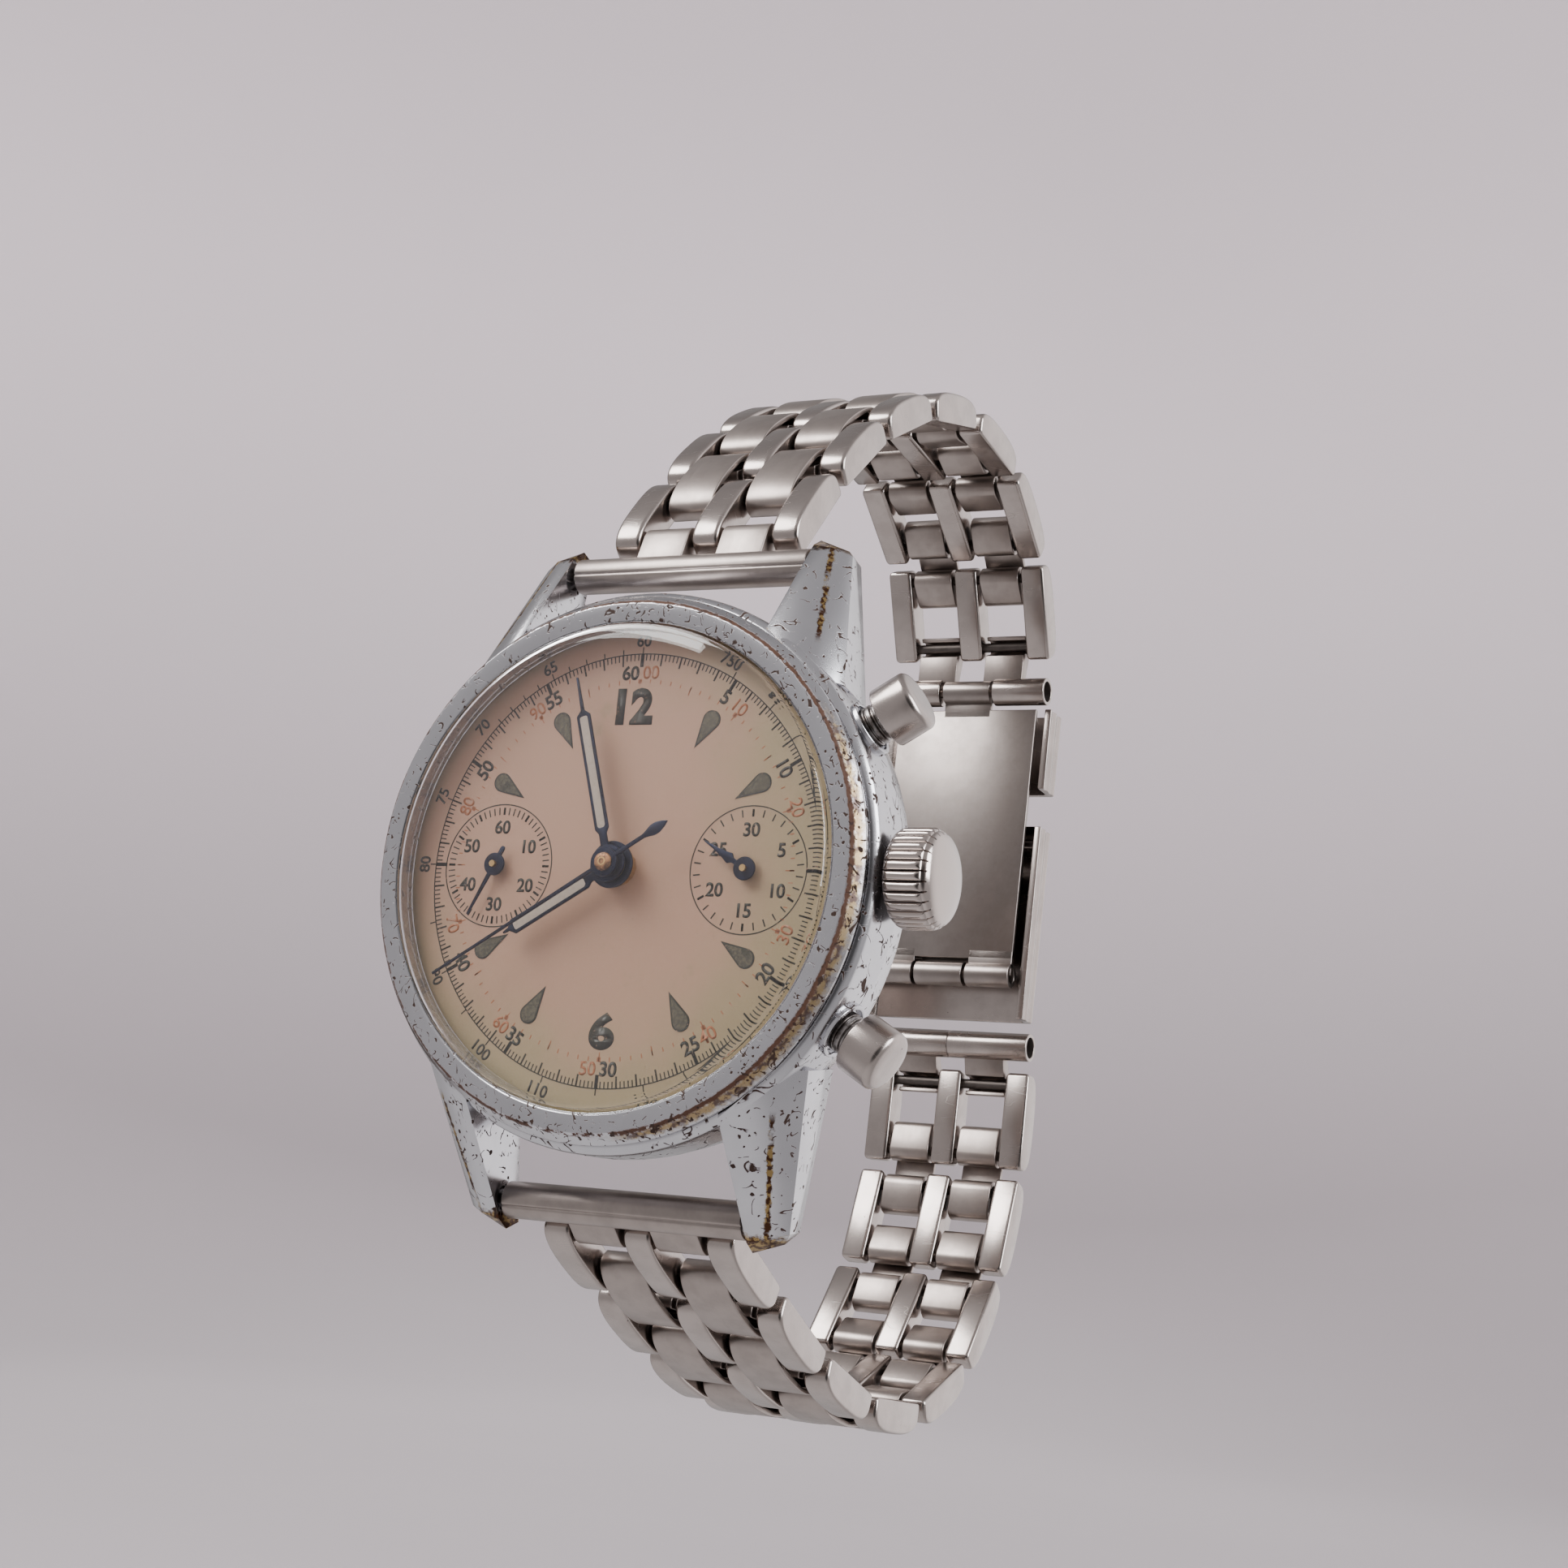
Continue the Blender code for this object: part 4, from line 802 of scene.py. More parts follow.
def broken_edges(mesh, width, rounds=2, angle=28.0, number=0, sharp=50.0):
    """A mesh with its edges rounded; the new faces take a material number."""
    if number and len(mesh.materials) < 2:
        mesh.materials.clear()
        mesh.materials.append(None)
        mesh.materials.append(None)
    holder = held("edges", mesh)
    change = holder.modifiers.new("edges", "BEVEL")
    change.width = width
    change.segments = rounds
    change.limit_method = "ANGLE"
    change.angle_limit = math.radians(angle)
    change.material = number
    change.use_clamp_overlap = True
    change.harden_normals = False
    made = plain(mesh.name, holder)
    made.shade_smooth()
    made.set_sharp_from_angle(angle=math.radians(sharp))
    return made


def carved(mesh, *cutters):
    """A mesh with others cut away by the exact solver."""
    holder = held("carved", mesh)
    tools = [held("tool", cutter) for cutter in cutters]
    for tool in tools:
        change = holder.modifiers.new("cut", "BOOLEAN")
        change.operation = "DIFFERENCE"
        change.solver = "EXACT"
        change.object = tool
    made = plain(mesh.name, holder)
    for tool in tools:
        bpy.data.objects.remove(tool, do_unlink=True)
    work = bmesh.new()
    work.from_mesh(made)
    bmesh.ops.dissolve_limit(work, angle_limit=math.radians(0.5), verts=work.verts,
                             edges=work.edges)
    return fresh(mesh.name, work)


def rod(radius, low, high, steps=40, cut=0.0, bore=0.0):
    """A round bar along z with eased ends, or a tube with a bore."""
    if bore:
        profile = eased([(radius, high), (radius, low), (bore, low), (bore, high)], cut, 3)
    else:
        profile = eased([(0, high), (radius, high), (radius, low), (0, low)], cut, 3, False)
    return turned("rod", profile, steps)


def across_rod(radius, start, end, spot=(0, 0), steps=40, cut=0.0, bore=0.0):
    """A round bar or tube along x through a point of (y, z)."""
    mesh = along_x(rod(radius, start, end, steps, cut, bore))
    return settled(mesh, Matrix.Translation((0, spot[0], spot[1])))


# ---- pieces -------------------------------------------------------------------------------
def add_piece(name, mesh, body, makers, replaced=(), frame_matrix=None):
    """Set a mesh down as a piece: in metres, with its finishes, on its body."""
    settled(mesh, Matrix.Scale(MM, 4) @ (frame_matrix or Matrix.Identity(4)))
    mesh.name = name
    if not hasattr(makers, "__len__"):
        makers = [makers]
    numbers = [face.material_index for face in mesh.polygons]
    mesh.materials.clear()
    for maker in makers:
        mesh.materials.append(finish(maker))
    mesh.polygons.foreach_set("material_index", numbers)
    mesh.validate()
    piece = bpy.data.objects.new(name, mesh)
    bpy.context.scene.collection.objects.link(piece)
    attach(piece, body)
    if replaced:
        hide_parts(*replaced)
    return piece


def paint_node(node, maker):
    """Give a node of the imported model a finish."""
    piece = frame["nodes"][node]
    if not piece.material_slots:
        piece.data.materials.append(None)
    for slot in piece.material_slots:
        slot.material = finish(maker)
    return piece


# ---- copies by geometry nodes -------------------------------------------------------------
def copies_tree(name, turn):
    """Geometry nodes that repeat one piece, turned about z or spaced along a line."""
    if name in bpy.data.node_groups:
        return bpy.data.node_groups[name]
    tree = bpy.data.node_groups.new(name, "GeometryNodeTree")
    face = tree.interface
    place = "Float" if turn else "Vector"
    for label, kind in (("Geometry", "Geometry"), ("Piece", "Object"), ("Count", "Int"),
                        ("First", place), ("Step", place), ("Finish", "Material")):
        face.new_socket(label, in_out="INPUT", socket_type="NodeSocket" + kind)
    face.new_socket("Geometry", in_out="OUTPUT", socket_type="NodeSocketGeometry")
    new = tree.nodes.new
    join = tree.links.new
    given, out = new("NodeGroupInput"), new("NodeGroupOutput")
    places, order = new("GeometryNodePoints"), new("GeometryNodeInputIndex")
    shape, copies = new("GeometryNodeObjectInfo"), new("GeometryNodeInstanceOnPoints")
    real, dress = new("GeometryNodeRealizeInstances"), new("GeometryNodeSetMaterial")
    shape.transform_space = "ORIGINAL"
    join(given.outputs["Piece"], shape.inputs["Object"])
    join(given.outputs["Count"], places.inputs["Count"])
    if turn:
        times, total = new("ShaderNodeMath"), new("ShaderNodeMath")
        spin = new("ShaderNodeCombineXYZ")
        times.operation, total.operation = "MULTIPLY", "ADD"
        join(spin.outputs[0], copies.inputs["Rotation"])
        join(total.outputs[0], spin.inputs["Z"])
    else:
        times, total = new("ShaderNodeVectorMath"), new("ShaderNodeVectorMath")
        times.operation, total.operation = "MULTIPLY", "ADD"
        join(total.outputs[0], places.inputs["Position"])
    join(order.outputs[0], times.inputs[0])
    join(given.outputs["Step"], times.inputs[1])
    join(times.outputs[0], total.inputs[0])
    join(given.outputs["First"], total.inputs[1])
    join(places.outputs[0], copies.inputs["Points"])
    join(shape.outputs["Geometry"], copies.inputs["Instance"])
    join(copies.outputs[0], real.inputs[0])
    join(real.outputs[0], dress.inputs["Geometry"])
    join(given.outputs["Finish"], dress.inputs["Material"])
    join(dress.outputs[0], out.inputs[0])
    return tree


def repeated(name, mesh, count, first, step, maker):
    """Copies of a mesh made by geometry nodes: turned (angles) or spaced (vectors)."""
    turn = not hasattr(step, "__len__")
    tree = copies_tree("Turned copies" if turn else "Spaced copies", turn)
    pattern = held(name + "_pattern", mesh)
    holder = held(name, bpy.data.meshes.new(name))
    change = holder.modifiers.new("copies", "NODES")
    change.node_group = tree
    inputs = {item.name: item.identifier for item in tree.interface.items_tree
              if item.in_out == "INPUT"}
    change[inputs["Piece"]] = pattern
    change[inputs["Count"]] = count
    change[inputs["First"]] = first
    change[inputs["Step"]] = step
    change[inputs["Finish"]] = finish(maker)
    made = plain(name, holder)
    bpy.data.objects.remove(pattern, do_unlink=True)
    return made


# ---- case ---------------------------------------------------------------------------------
def lug_solid(side, end):
    """One lug: a facetted horn from the flank to its tip."""
    inner, root, tip = 9.0, 14.8, 22.9
    outer = inner + 3.3
    points = [
        (inner, root - 3.0, 0.75), (inner, root + 0.4, 0.75), (inner, tip - 0.6, -4.6),
        (inner, tip, -5.6), (inner, tip - 0.5, -7.0), (inner, root - 3.0, -5.0),
        (outer + 0.2, root - 2.7, 0.75), (outer - 1.9, tip - 0.9, -4.6),
        (outer + 1.5, root - 2.9, -1.15), (outer - 0.75, tip - 1.3, -5.3),
        (outer - 1.4, tip - 0.7, -6.1), (outer + 1.3, root - 3.4, -5.0),
        (outer - 0.9, tip - 1.5, -7.0)]
    return wrapped([(side * x, end * y, z) for x, y, z in points])


def radial(mesh, angle):
    """Lay a z bar along a radius of the case at an angle from the crown line."""
    return settled(mesh, Matrix.Translation((0, 0, STEM_LEVEL))
                   @ Matrix.Rotation(math.radians(angle), 4, "Z")
                   @ Matrix.Rotation(math.pi / 2, 4, "Y"))


class WATCH_OT_case(bpy.types.Operator):
    """Case drum with its collars, the four lugs and the case back"""
    bl_idname = "watch.case"
    bl_label = "Case"

    def execute(self, context):
        drum = turned("drum", eased([
            (16.45, 0.72), (17.50, 0.74), (17.94, 0.32), (18.0, -0.25), (18.0, -2.9),
            (17.6, -5.0), (16.45, -5.0)], (0.05, 0.2, 0.25, 0.2, 0.10, 0.12, 0.05), 4))
        collars = [radial(turned("collar", eased([
            (1.55, 18.24), (1.84, 18.24), (1.84, 16.9), (1.55, 16.9)], 0.08, 3), 48), angle)
            for angle in (PUSHER_ANGLE, -PUSHER_ANGLE)]
        collars.append(radial(turned("collar", eased([
            (0.85, 18.24), (1.5, 18.24), (1.5, 16.9), (0.85, 16.9)], 0.08, 3), 40), 0))
        add_piece("case_drum", one_mesh("case_drum", [drum] + collars), "root",
                  bright_chrome, ["case_body"], WATCH)
        hollow = rod(17.0, -12, 6, 96)
        under = rod(17.5, -12, -5.0, 96)
        lugs = []
        for side in (1, -1):
            for end in (1, -1):
                lug = carved(lug_solid(side, end), hollow, under)
                lugs.append(broken_edges(lug, sizes().edge_break, 3, 20.0, 1))
        for mesh in (hollow, under):
            bpy.data.meshes.remove(mesh)
        add_piece("case_lugs", one_mesh("case_lugs", lugs), "root",
                  [lug_chrome, worn_edge], (), WATCH)
        back = turned("back", eased([
            (0, -7.0), (14.1, -7.0), (15.5, -5.8), (15.5, -4.4), (16.1, -4.4), (16.1, -5.2),
            (17.3, -5.2), (17.2, -5.9), (14.9, -7.45), (13.9, -7.6), (13.6, -7.52),
            (13.4, -7.6), (0, -7.6)], 0.12, 3, False))
        add_piece("case_back_shell", back, "root", brushed_back,
                  ["case_back"], WATCH)
        return {"FINISHED"}


class WATCH_OT_bezel(bpy.types.Operator):
    """Bezel and domed crystal"""
    bl_idname = "watch.bezel"
    bl_label = "Bezel and crystal"

    def execute(self, context):
        ring = turned("bezel_ring", eased([
            (15.50, 2.02), (15.66, 2.12), (16.22, 2.15), (16.80, 2.13), (17.18, 1.62),
            (17.45, 1.18), (17.45, 0.95), (16.25, 0.95), (16.25, 0.42), (15.50, 0.42)],
            (0.05, 0.08, 0.2, 0.10, 0.2, 0.08, 0.05, 0.05, 0.05, 0.05), 4))
        add_piece("bezel_ring", ring, "root", bezel_chrome, ["bezel"], WATCH)
        outer = [(14.9 * k / 16, 2.66 + 1.19 * (1 - (k / 16) ** 2)) for k in range(17)]
        outer += [(15.10, 2.62), (15.24, 2.52), (15.33, 2.36), (15.36, 2.15), (15.36, 0.58)]
        inner = [(15.18, 0.58), (15.18, 1.95), (15.14, 2.06), (15.02, 2.15)]
        inner += [(14.9 * k / 16, 2.18 + 1.17 * (1 - (k / 16) ** 2)) for k in range(16, -1, -1)]
        add_piece("crystal_dome", turned("crystal_dome", outer + inner), "root",
                  clear_acrylic, ["crystal"], WATCH)
        return {"FINISHED"}


# ---- dial ---------------------------------------------------------------------------------
def clock_point(angle, radius, centre=(0, 0)):
    """A point at a clock angle."""
    turn = math.radians(angle)
    return Vector((centre[0] + radius * math.sin(turn), centre[1] + radius * math.cos(turn), 0))


def numeral(text, height, width=None, weight=0.0):
    """A number as a thin mesh, centred, drawn upright."""
    curve = bpy.data.curves.new("numeral", "FONT")
    curve.body = text
    curve.offset = weight
    curve.extrude = 0.0
    curve.resolution_u = 6
    holder = bpy.data.objects.new("numeral", curve)
    bpy.context.scene.collection.objects.link(holder)
    mesh = plain("numeral", holder)
    bpy.data.curves.remove(curve)
    xs = [vert.co.x for vert in mesh.vertices]
    ys = [vert.co.y for vert in mesh.vertices]
    tall = height / (max(ys) - min(ys))
    wide = width / (max(xs) - min(xs)) if width else tall
    middle = Matrix.Translation((-(max(xs) + min(xs)) / 2, -(max(ys) + min(ys)) / 2, 0))
    mesh.transform(Matrix.Diagonal((wide, tall, 1, 1)) @ middle)
    work = bmesh.new()
    work.from_mesh(mesh)
    bmesh.ops.remove_doubles(work, verts=work.verts, dist=1e-4)
    made = bmesh.ops.extrude_face_region(work, geom=work.faces[:])
    raised = [item for item in made["geom"] if isinstance(item, bmesh.types.BMVert)]
    bmesh.ops.translate(work, verts=raised, vec=(0, 0, sizes().print_height))
    bmesh.ops.recalc_face_normals(work, faces=work.faces)
    work.to_mesh(mesh)
    work.free()
    return mesh


def numeral_at(text, angle, radius, height, centre=(0, 0), radial_turn=True, weight=0.0,
               width=None, shift=0.0):
    """A number on a circle; its top points outwards above and inwards below."""
    place = clock_point(angle, radius, centre)
    turn = 0.0
    if radial_turn:
        turn = -angle if not 90 < angle % 360 < 270 else 180 - angle
    spin = Matrix.Rotation(math.radians(turn), 4, "Z")
    matrix = Matrix.Translation((place.x, place.y, PRINT_LEVEL)) @ spin
    return settled(numeral(text, height, width, weight),
                   matrix @ Matrix.Translation((shift, 0, 0)))


def dash(inner, outer, width):
    """A printed mark pointing to 12 o'clock between two radii."""
    high = PRINT_LEVEL + sizes().print_height
    return slab("dash", [(-width / 2, inner), (width / 2, inner), (width / 2, outer),
                         (-width / 2, outer)], PRINT_LEVEL, high)


def printed_ring(radius, width, centre=(0, 0), count=160):
    """A printed circle."""
    mesh = framed("ring", disc_outline(radius + width / 2, count),
                  disc_outline(radius - width / 2, count), PRINT_LEVEL,
                  PRINT_LEVEL + sizes().print_height)
    return settled(mesh, Matrix.Translation((centre[0], centre[1], 0)))


def teardrop(inner, outer, half, count=14):
    """Outline of a marker: pointed inwards, round outwards."""
    middle = outer - half
    spots = [(0, inner)]
    for k in range(count + 1):
        angle = math.radians(-20 + 220 * k / count)
        spots.append((half * math.cos(angle), middle + half * math.sin(angle)))
    return spots


class WATCH_OT_dial(bpy.types.Operator):
    """Dial disc"""
    bl_idname = "watch.dial"
    bl_label = "Dial"

    def execute(self, context):
        profile = [(0, 0), (4, 0), (8, 0), (12, 0), (15.9, 0), (16.08, -0.06), (16.1, -0.4),
                   (0, -0.4)]
        disc = turned("dial_disc", profile)
        add_piece("dial_disc", disc, "root", dial_lacquer, ["dial"], WATCH)
        return {"FINISHED"}


class WATCH_OT_printing(bpy.types.Operator):
    """Tracks, numbers and markers of the dial"""
    bl_idname = "watch.printing"
    bl_label = "Dial printing"

    def execute(self, context):
        turn = -2 * math.pi
        tall = sizes().numeral
        dark = [
            printed_ring(13.86, 0.075, count=240),
            repeated("fifths", dash(13.42, 13.86, 0.078), 300, 0.0, turn / 300, dark_ink),
            repeated("seconds", dash(13.10, 13.86, 0.115), 60, 0.0, turn / 60, dark_ink),
            repeated("fives", dash(13.00, 13.86, 0.24), 12, 0.0, turn / 12, dark_ink)]
        for speed in list(range(60, 70)) + [75, 80, 85, 90, 95, 100, 110, 120, 130, 140, 150, 160,
                                             180, 200, 250, 300, 400, 500, 750]:
            mark = dash(13.86, 14.22 if speed % 5 else 14.30, 0.08)
            dark.append(settled(mark, Matrix.Rotation(-math.radians(21600 / speed), 4, "Z")))
        for speed in (500, 300, 200, 160, 130, 110, 100, 90, 80, 75, 70, 65):
            dark.append(numeral_at(str(speed), 21600 / speed, 14.74, 0.80, weight=0.020))
        dark.append(numeral_at("750", 26.0, 14.74, 0.80, weight=0.020))
        dark.append(numeral_at("60", 360, 14.74, 0.80, weight=0.020))
        for count in (5, 10, 20, 25, 35, 40, 50, 55):
            dark.append(numeral_at(str(count), count * 6, 12.60, tall, weight=0.030))
        dark.append(numeral_at("60", 0, 12.62, tall, weight=0.030, shift=-0.74))
        dark.append(numeral_at("30", 180, 12.62, tall, weight=0.030, shift=0.74))
        for side, marks, numbers in ((-1, 60, (60, 10, 20, 30, 40, 50)),
                                     (1, 30, (30, 5, 10, 15, 20, 25))):
            centre = (side * REGISTER_X, 0)
            shift = Matrix.Translation((centre[0], 0, 0))
            dark.append(printed_ring(4.0, 0.075, centre, 120))
            fine = dash(3.32, 3.80, 0.08 if marks == 60 else 0.09)
            dark.append(settled(repeated("small", fine, marks, 0.0, turn / marks, dark_ink), shift))
            bold = dash(3.32, 3.80, 0.15)
            steps = 12 if marks == 60 else 6
            dark.append(settled(repeated("bold", bold, steps, 0.0, turn / steps, dark_ink), shift))
            for index, number in enumerate(numbers):
                dark.append(numeral_at(str(number), index * 60, 2.52, 0.90, centre, False, 0.026))
        for text, height, width, weight, place in (("12", 2.42, 2.70, 0.052, (-0.17, 10.42)),
                                                   ("6", 2.36, 1.84, 0.050, (0, -10.3))):
            dark.append(settled(numeral(text, height, width, weight),
                                Matrix.Translation((*place, PRINT_LEVEL))))
        for hour in (1, 2, 4, 5, 7, 8, 10, 11):
            edge = framed("edge", teardrop(8.85, 11.56, 0.63), teardrop(9.35, 11.42, 0.48),
                          PRINT_LEVEL, 0.03)
            dark.append(settled(edge, Matrix.Rotation(-math.radians(hour * 30), 4, "Z")))
        add_piece("dial_dark_print", one_mesh("dark", dark), "root", dark_ink, (),
                  WATCH)
        red = [repeated("hundredths", dash(11.92, 12.20, 0.075), 100, 0.0, turn / 100, red_ink),
               repeated("fives", dash(11.62, 12.20, 0.07), 20, 0.0, turn / 20, red_ink),
               repeated("tens", dash(11.92, 12.20, 0.28), 10, 0.0, turn / 10, red_ink)]
        for count in (10, 20, 30, 40, 60, 70, 80, 90):
            red.append(numeral_at(str(count), count * 3.6, 12.62, tall * 0.92, weight=0.014))
        red.append(numeral_at("00", 0, 12.64, tall * 0.92, weight=0.014, shift=0.74))
        red.append(numeral_at("50", 180, 12.64, tall * 0.92, weight=0.014, shift=-0.74))
        add_piece("dial_red_print", one_mesh("red", red), "root", red_ink, (), WATCH)
        fill = [repeated("fill", slab("fill", teardrop(9.25, 11.44, 0.52), PRINT_LEVEL, 0.045), 2,
                         math.radians(-30 * first), math.radians(-30), marker_fill)
                for first in (1, 4, 7, 10)]
        add_piece("dial_marker_fill", one_mesh("fill", fill), "root", marker_fill,
                  (), WATCH)
        return {"FINISHED"}


# ---- hands --------------------------------------------------------------------------------
def hand_place(angle, centre=0.0):
    """Frame of a hand that points to a clock angle."""
    turn = Matrix.Rotation(-math.radians(angle), 4, "Z")
    return WATCH @ Matrix.Translation((centre, 0, 0)) @ turn


def slotted_hand(neck, start, end, half, reach, level):
    """A hand with a long filled slot and a fine tip: steel meshes, fill mesh."""
    edge, tip = 0.20, 0.12
    outer = [(neck, 0.6), (neck, start - 0.35), (half, start), (half, end), (tip, end + 0.35),
             (tip * 0.5, reach), (-tip * 0.5, reach), (-tip, end + 0.35), (-half, end),
             (-half, start), (-neck, start - 0.35), (-neck, 0.6)]
    inside = half - edge
    inner = [(inside * 0.3, start + 0.06), (inside * 0.6, start + 0.06), (inside, start + 0.2),
             (inside, end - 0.15), (inside * 0.7, end - 0.08), (inside * 0.3, end - 0.06),
             (-inside * 0.3, end - 0.06), (-inside * 0.7, end - 0.08), (-inside, end - 0.15),
             (-inside, start + 0.2), (-inside * 0.6, start + 0.06), (-inside * 0.3, start + 0.06)]
    steel = broken_edges(framed("hand", outer, inner, level, level + 0.17), 0.03, 2)
    fill = slab("hand_fill", inner, level + 0.03, level + 0.17 - sizes().lume_drop)
    return steel, fill


def hub(radius, low, high, bore=0.25, cut=0.06):
    """A round hub with eased edges."""
    return rod(radius, low, high, 56, cut, bore)


class WATCH_OT_hands(bpy.types.Operator):
    """Hour, minute, chronograph and register hands"""
    bl_idname = "watch.hands"
    bl_label = "Hands"

    def execute(self, context):
        for label, shape, hubs, angle in (
                ("hour", (0.28, 2.05, 7.85, 0.50, 8.65, 0.95), ((1.50, 0.93, 1.15, 1.0),),
                 HOUR_ANGLE),
                ("minute", (0.26, 2.3, 9.95, 0.48, 12.55, 1.42),
                 ((1.18, 1.40, 1.62, 0.5), (0.72, 0.1, 1.45, 0.5)), MINUTE_ANGLE)):
            steel, fill = slotted_hand(*shape)
            steel = one_mesh(label, [steel] + [hub(*part) for part in hubs])
            add_piece(label + "_hand_steel", steel, label, blued_steel,
                      [label + "_hand"], hand_place(angle))
            add_piece(label + "_hand_fill", fill, label, hand_fill, (),
                      hand_place(angle))
        leaf = [(-0.13, 0.3), (-0.13, -3.1), (-0.20, -3.35), (-0.36, -3.8), (-0.36, -4.2),
                (-0.2, -4.65), (0, -4.98), (0.2, -4.65), (0.36, -4.2), (0.36, -3.8), (0.20, -3.35),
                (0.13, -3.1), (0.13, 0.3), (0.085, 13.88), (-0.085, 13.88)]
        needle = broken_edges(slab("needle", leaf, 1.90, 2.05), 0.03, 2)
        shapes = [needle, hub(0.93, 1.87, 2.08, 0.2)]
        add_piece("chrono_hand_steel", one_mesh("chrono", shapes), "chrono",
                  blued_steel, ["chrono_hand"], hand_place(CHRONO_ANGLE))
        pin = turned("pin", eased([(0, 2.34), (0.36, 2.32), (0.56, 2.24), (0.60, 2.14),
                                   (0.60, 2.06), (0, 2.06)], 0.05, 3, False), 40)
        add_piece("centre_pin", pin, "chrono", old_bronze, (), WATCH)
        small = [(-0.16, 0), (-0.16, -1.15), (-0.08, -1.3), (0.08, -1.3), (0.16, -1.15), (0.16, 0),
                 (0.07, 3.68), (-0.07, 3.68)]
        counter = [(-0.14, 0), (0.14, 0), (0.16, 1.0), (0.36, 1.25), (0.24, 1.7), (0.12, 2.4),
                   (0.04, 3.38), (-0.04, 3.38), (-0.12, 2.4), (-0.24, 1.7), (-0.36, 1.25),
                   (-0.16, 1.0)]
        for label, outline, place, angle in (("seconds", small, -REGISTER_X, SECONDS_ANGLE),
                                             ("counter", counter, REGISTER_X, COUNTER_ANGLE)):
            blade = broken_edges(slab(label, outline, 0.42, 0.55), 0.025, 2)
            shapes = [blade, hub(0.74, 0.39, 0.58, 0.15)]
            where = hand_place(angle, place)
            add_piece(label + "_hand_steel", one_mesh(label, shapes), label,
                      blued_steel, [label + "_hand"], where)
            tip = turned("tip", eased([(0, 0.74), (0.17, 0.74), (0.22, 0.66), (0.22, 0.5),
                                       (0, 0.5)], 0.03, 3, False), 24)
            add_piece(label + "_pin", tip, label, old_bronze, (), where)
        return {"FINISHED"}


# ---- crown and pushers --------------------------------------------------------------------
STEM_FRAME = WATCH @ Matrix.Translation((0, 0, STEM_LEVEL)) @ Matrix.Rotation(math.pi / 2, 4, "Y")


class WATCH_OT_crown(bpy.types.Operator):
    """Fluted crown with its domed cap"""
    bl_idname = "watch.crown"
    bl_label = "Crown"

    def execute(self, context):
        start, length, radius, rise = 18.4, 2.7, 3.1, 0.7
        flutes, per_flute = sizes().flutes, 10
        cap = 2.88
        stations = [(0.0, 2.72), (0.05, 2.86), (0.22, 3.0), (0.45, 3.1), (1.6, 3.1), (2.1, 3.1),
                    (2.26, 3.07), (2.38, 3.01), (2.46, 2.94), (2.50, cap)]
        stations += [(length - 0.2 + (rise + 0.18) * math.sin(math.radians(k * 7.5)),
                      cap * math.cos(math.radians(k * 7.5))) for k in range(1, 12)]
        work = bmesh.new()
        rings = []
        for along, limit in stations:
            row = []
            for k in range(flutes * per_flute):
                phase = abs(2 * ((k / per_flute) % 1.0) - 1)
                groove = sizes().flute_depth * (1 - (1 - phase ** 2.2) ** 0.5)
                reach = min(limit, radius - groove)
                angle = 2 * math.pi * k / (flutes * per_flute)
                row.append(work.verts.new((reach * math.cos(angle), reach * math.sin(angle),
                                           start + along)))
            rings.append(row)
        for first, second in zip(rings, rings[1:]):
            for k in range(len(first)):
                after = (k + 1) % len(first)
                work.faces.new((first[k], first[after], second[after], second[k]))
        tip = work.verts.new((0, 0, start + length + rise - 0.02))
        root = work.verts.new((0, 0, start + 0.25))
        for k in range(len(rings[0])):
            after = (k + 1) % len(rings[0])
            work.faces.new((rings[-1][k], rings[-1][after], tip))
            work.faces.new((rings[0][after], rings[0][k], root))
        body = fresh("crown_body", work, 38.0)
        add_piece("crown_fluted", body, "crown", crown_steel, ["crown"],
                  STEM_FRAME)
        for label, side in (("pusher_upper", 1), ("pusher_lower", -1)):
            profile = eased([
                (0, 21.86), (1.2, 21.84), (1.72, 21.74), (1.95, 21.50), (1.95, 19.27),
                (1.30, 19.25), (1.30, 18.98), (1.14, 18.92), (1.14, 18.80), (1.30, 18.74),
                (1.30, 18.50),
                (1.16, 18.46), (1.16, 18.38), (1.30, 18.34), (1.30, 17.5), (0, 17.5)],
                (0, 0.3, 0.22, 0.16, 0.10, 0.04, 0.04, 0.03, 0.03, 0.03, 0.03, 0.03, 0.03, 0.03,
                 0.05, 0), 3, False)
            mesh = turned(label, profile, 96)
            for face in mesh.polygons:
                face.material_index = 1 if face.center.z < 19.2 else 0
            add_piece(label + "_cap", mesh, label, [polished_steel, stem_steel],
                      [label], WATCH @ Matrix.Translation((0, 0, STEM_LEVEL))
                      @ Matrix.Rotation(math.radians(side * PUSHER_ANGLE), 4, "Z")
                      @ Matrix.Rotation(math.pi / 2, 4, "Y"))
        return {"FINISHED"}


# ---- bracelet -----------------------------------------------------------------------------
def link_frame(spot, heading, side):
    """Frame of a link from its near pin and its heading, in degrees from +Y towards +Z."""
    if side == "upper":
        turn = Euler((math.radians(heading), 0, 0))
    else:
        turn = Euler((-math.radians(heading), math.pi, 0))
    return Matrix.Translation((0, spot.y, spot.z)) @ turn.to_matrix().to_4x4()


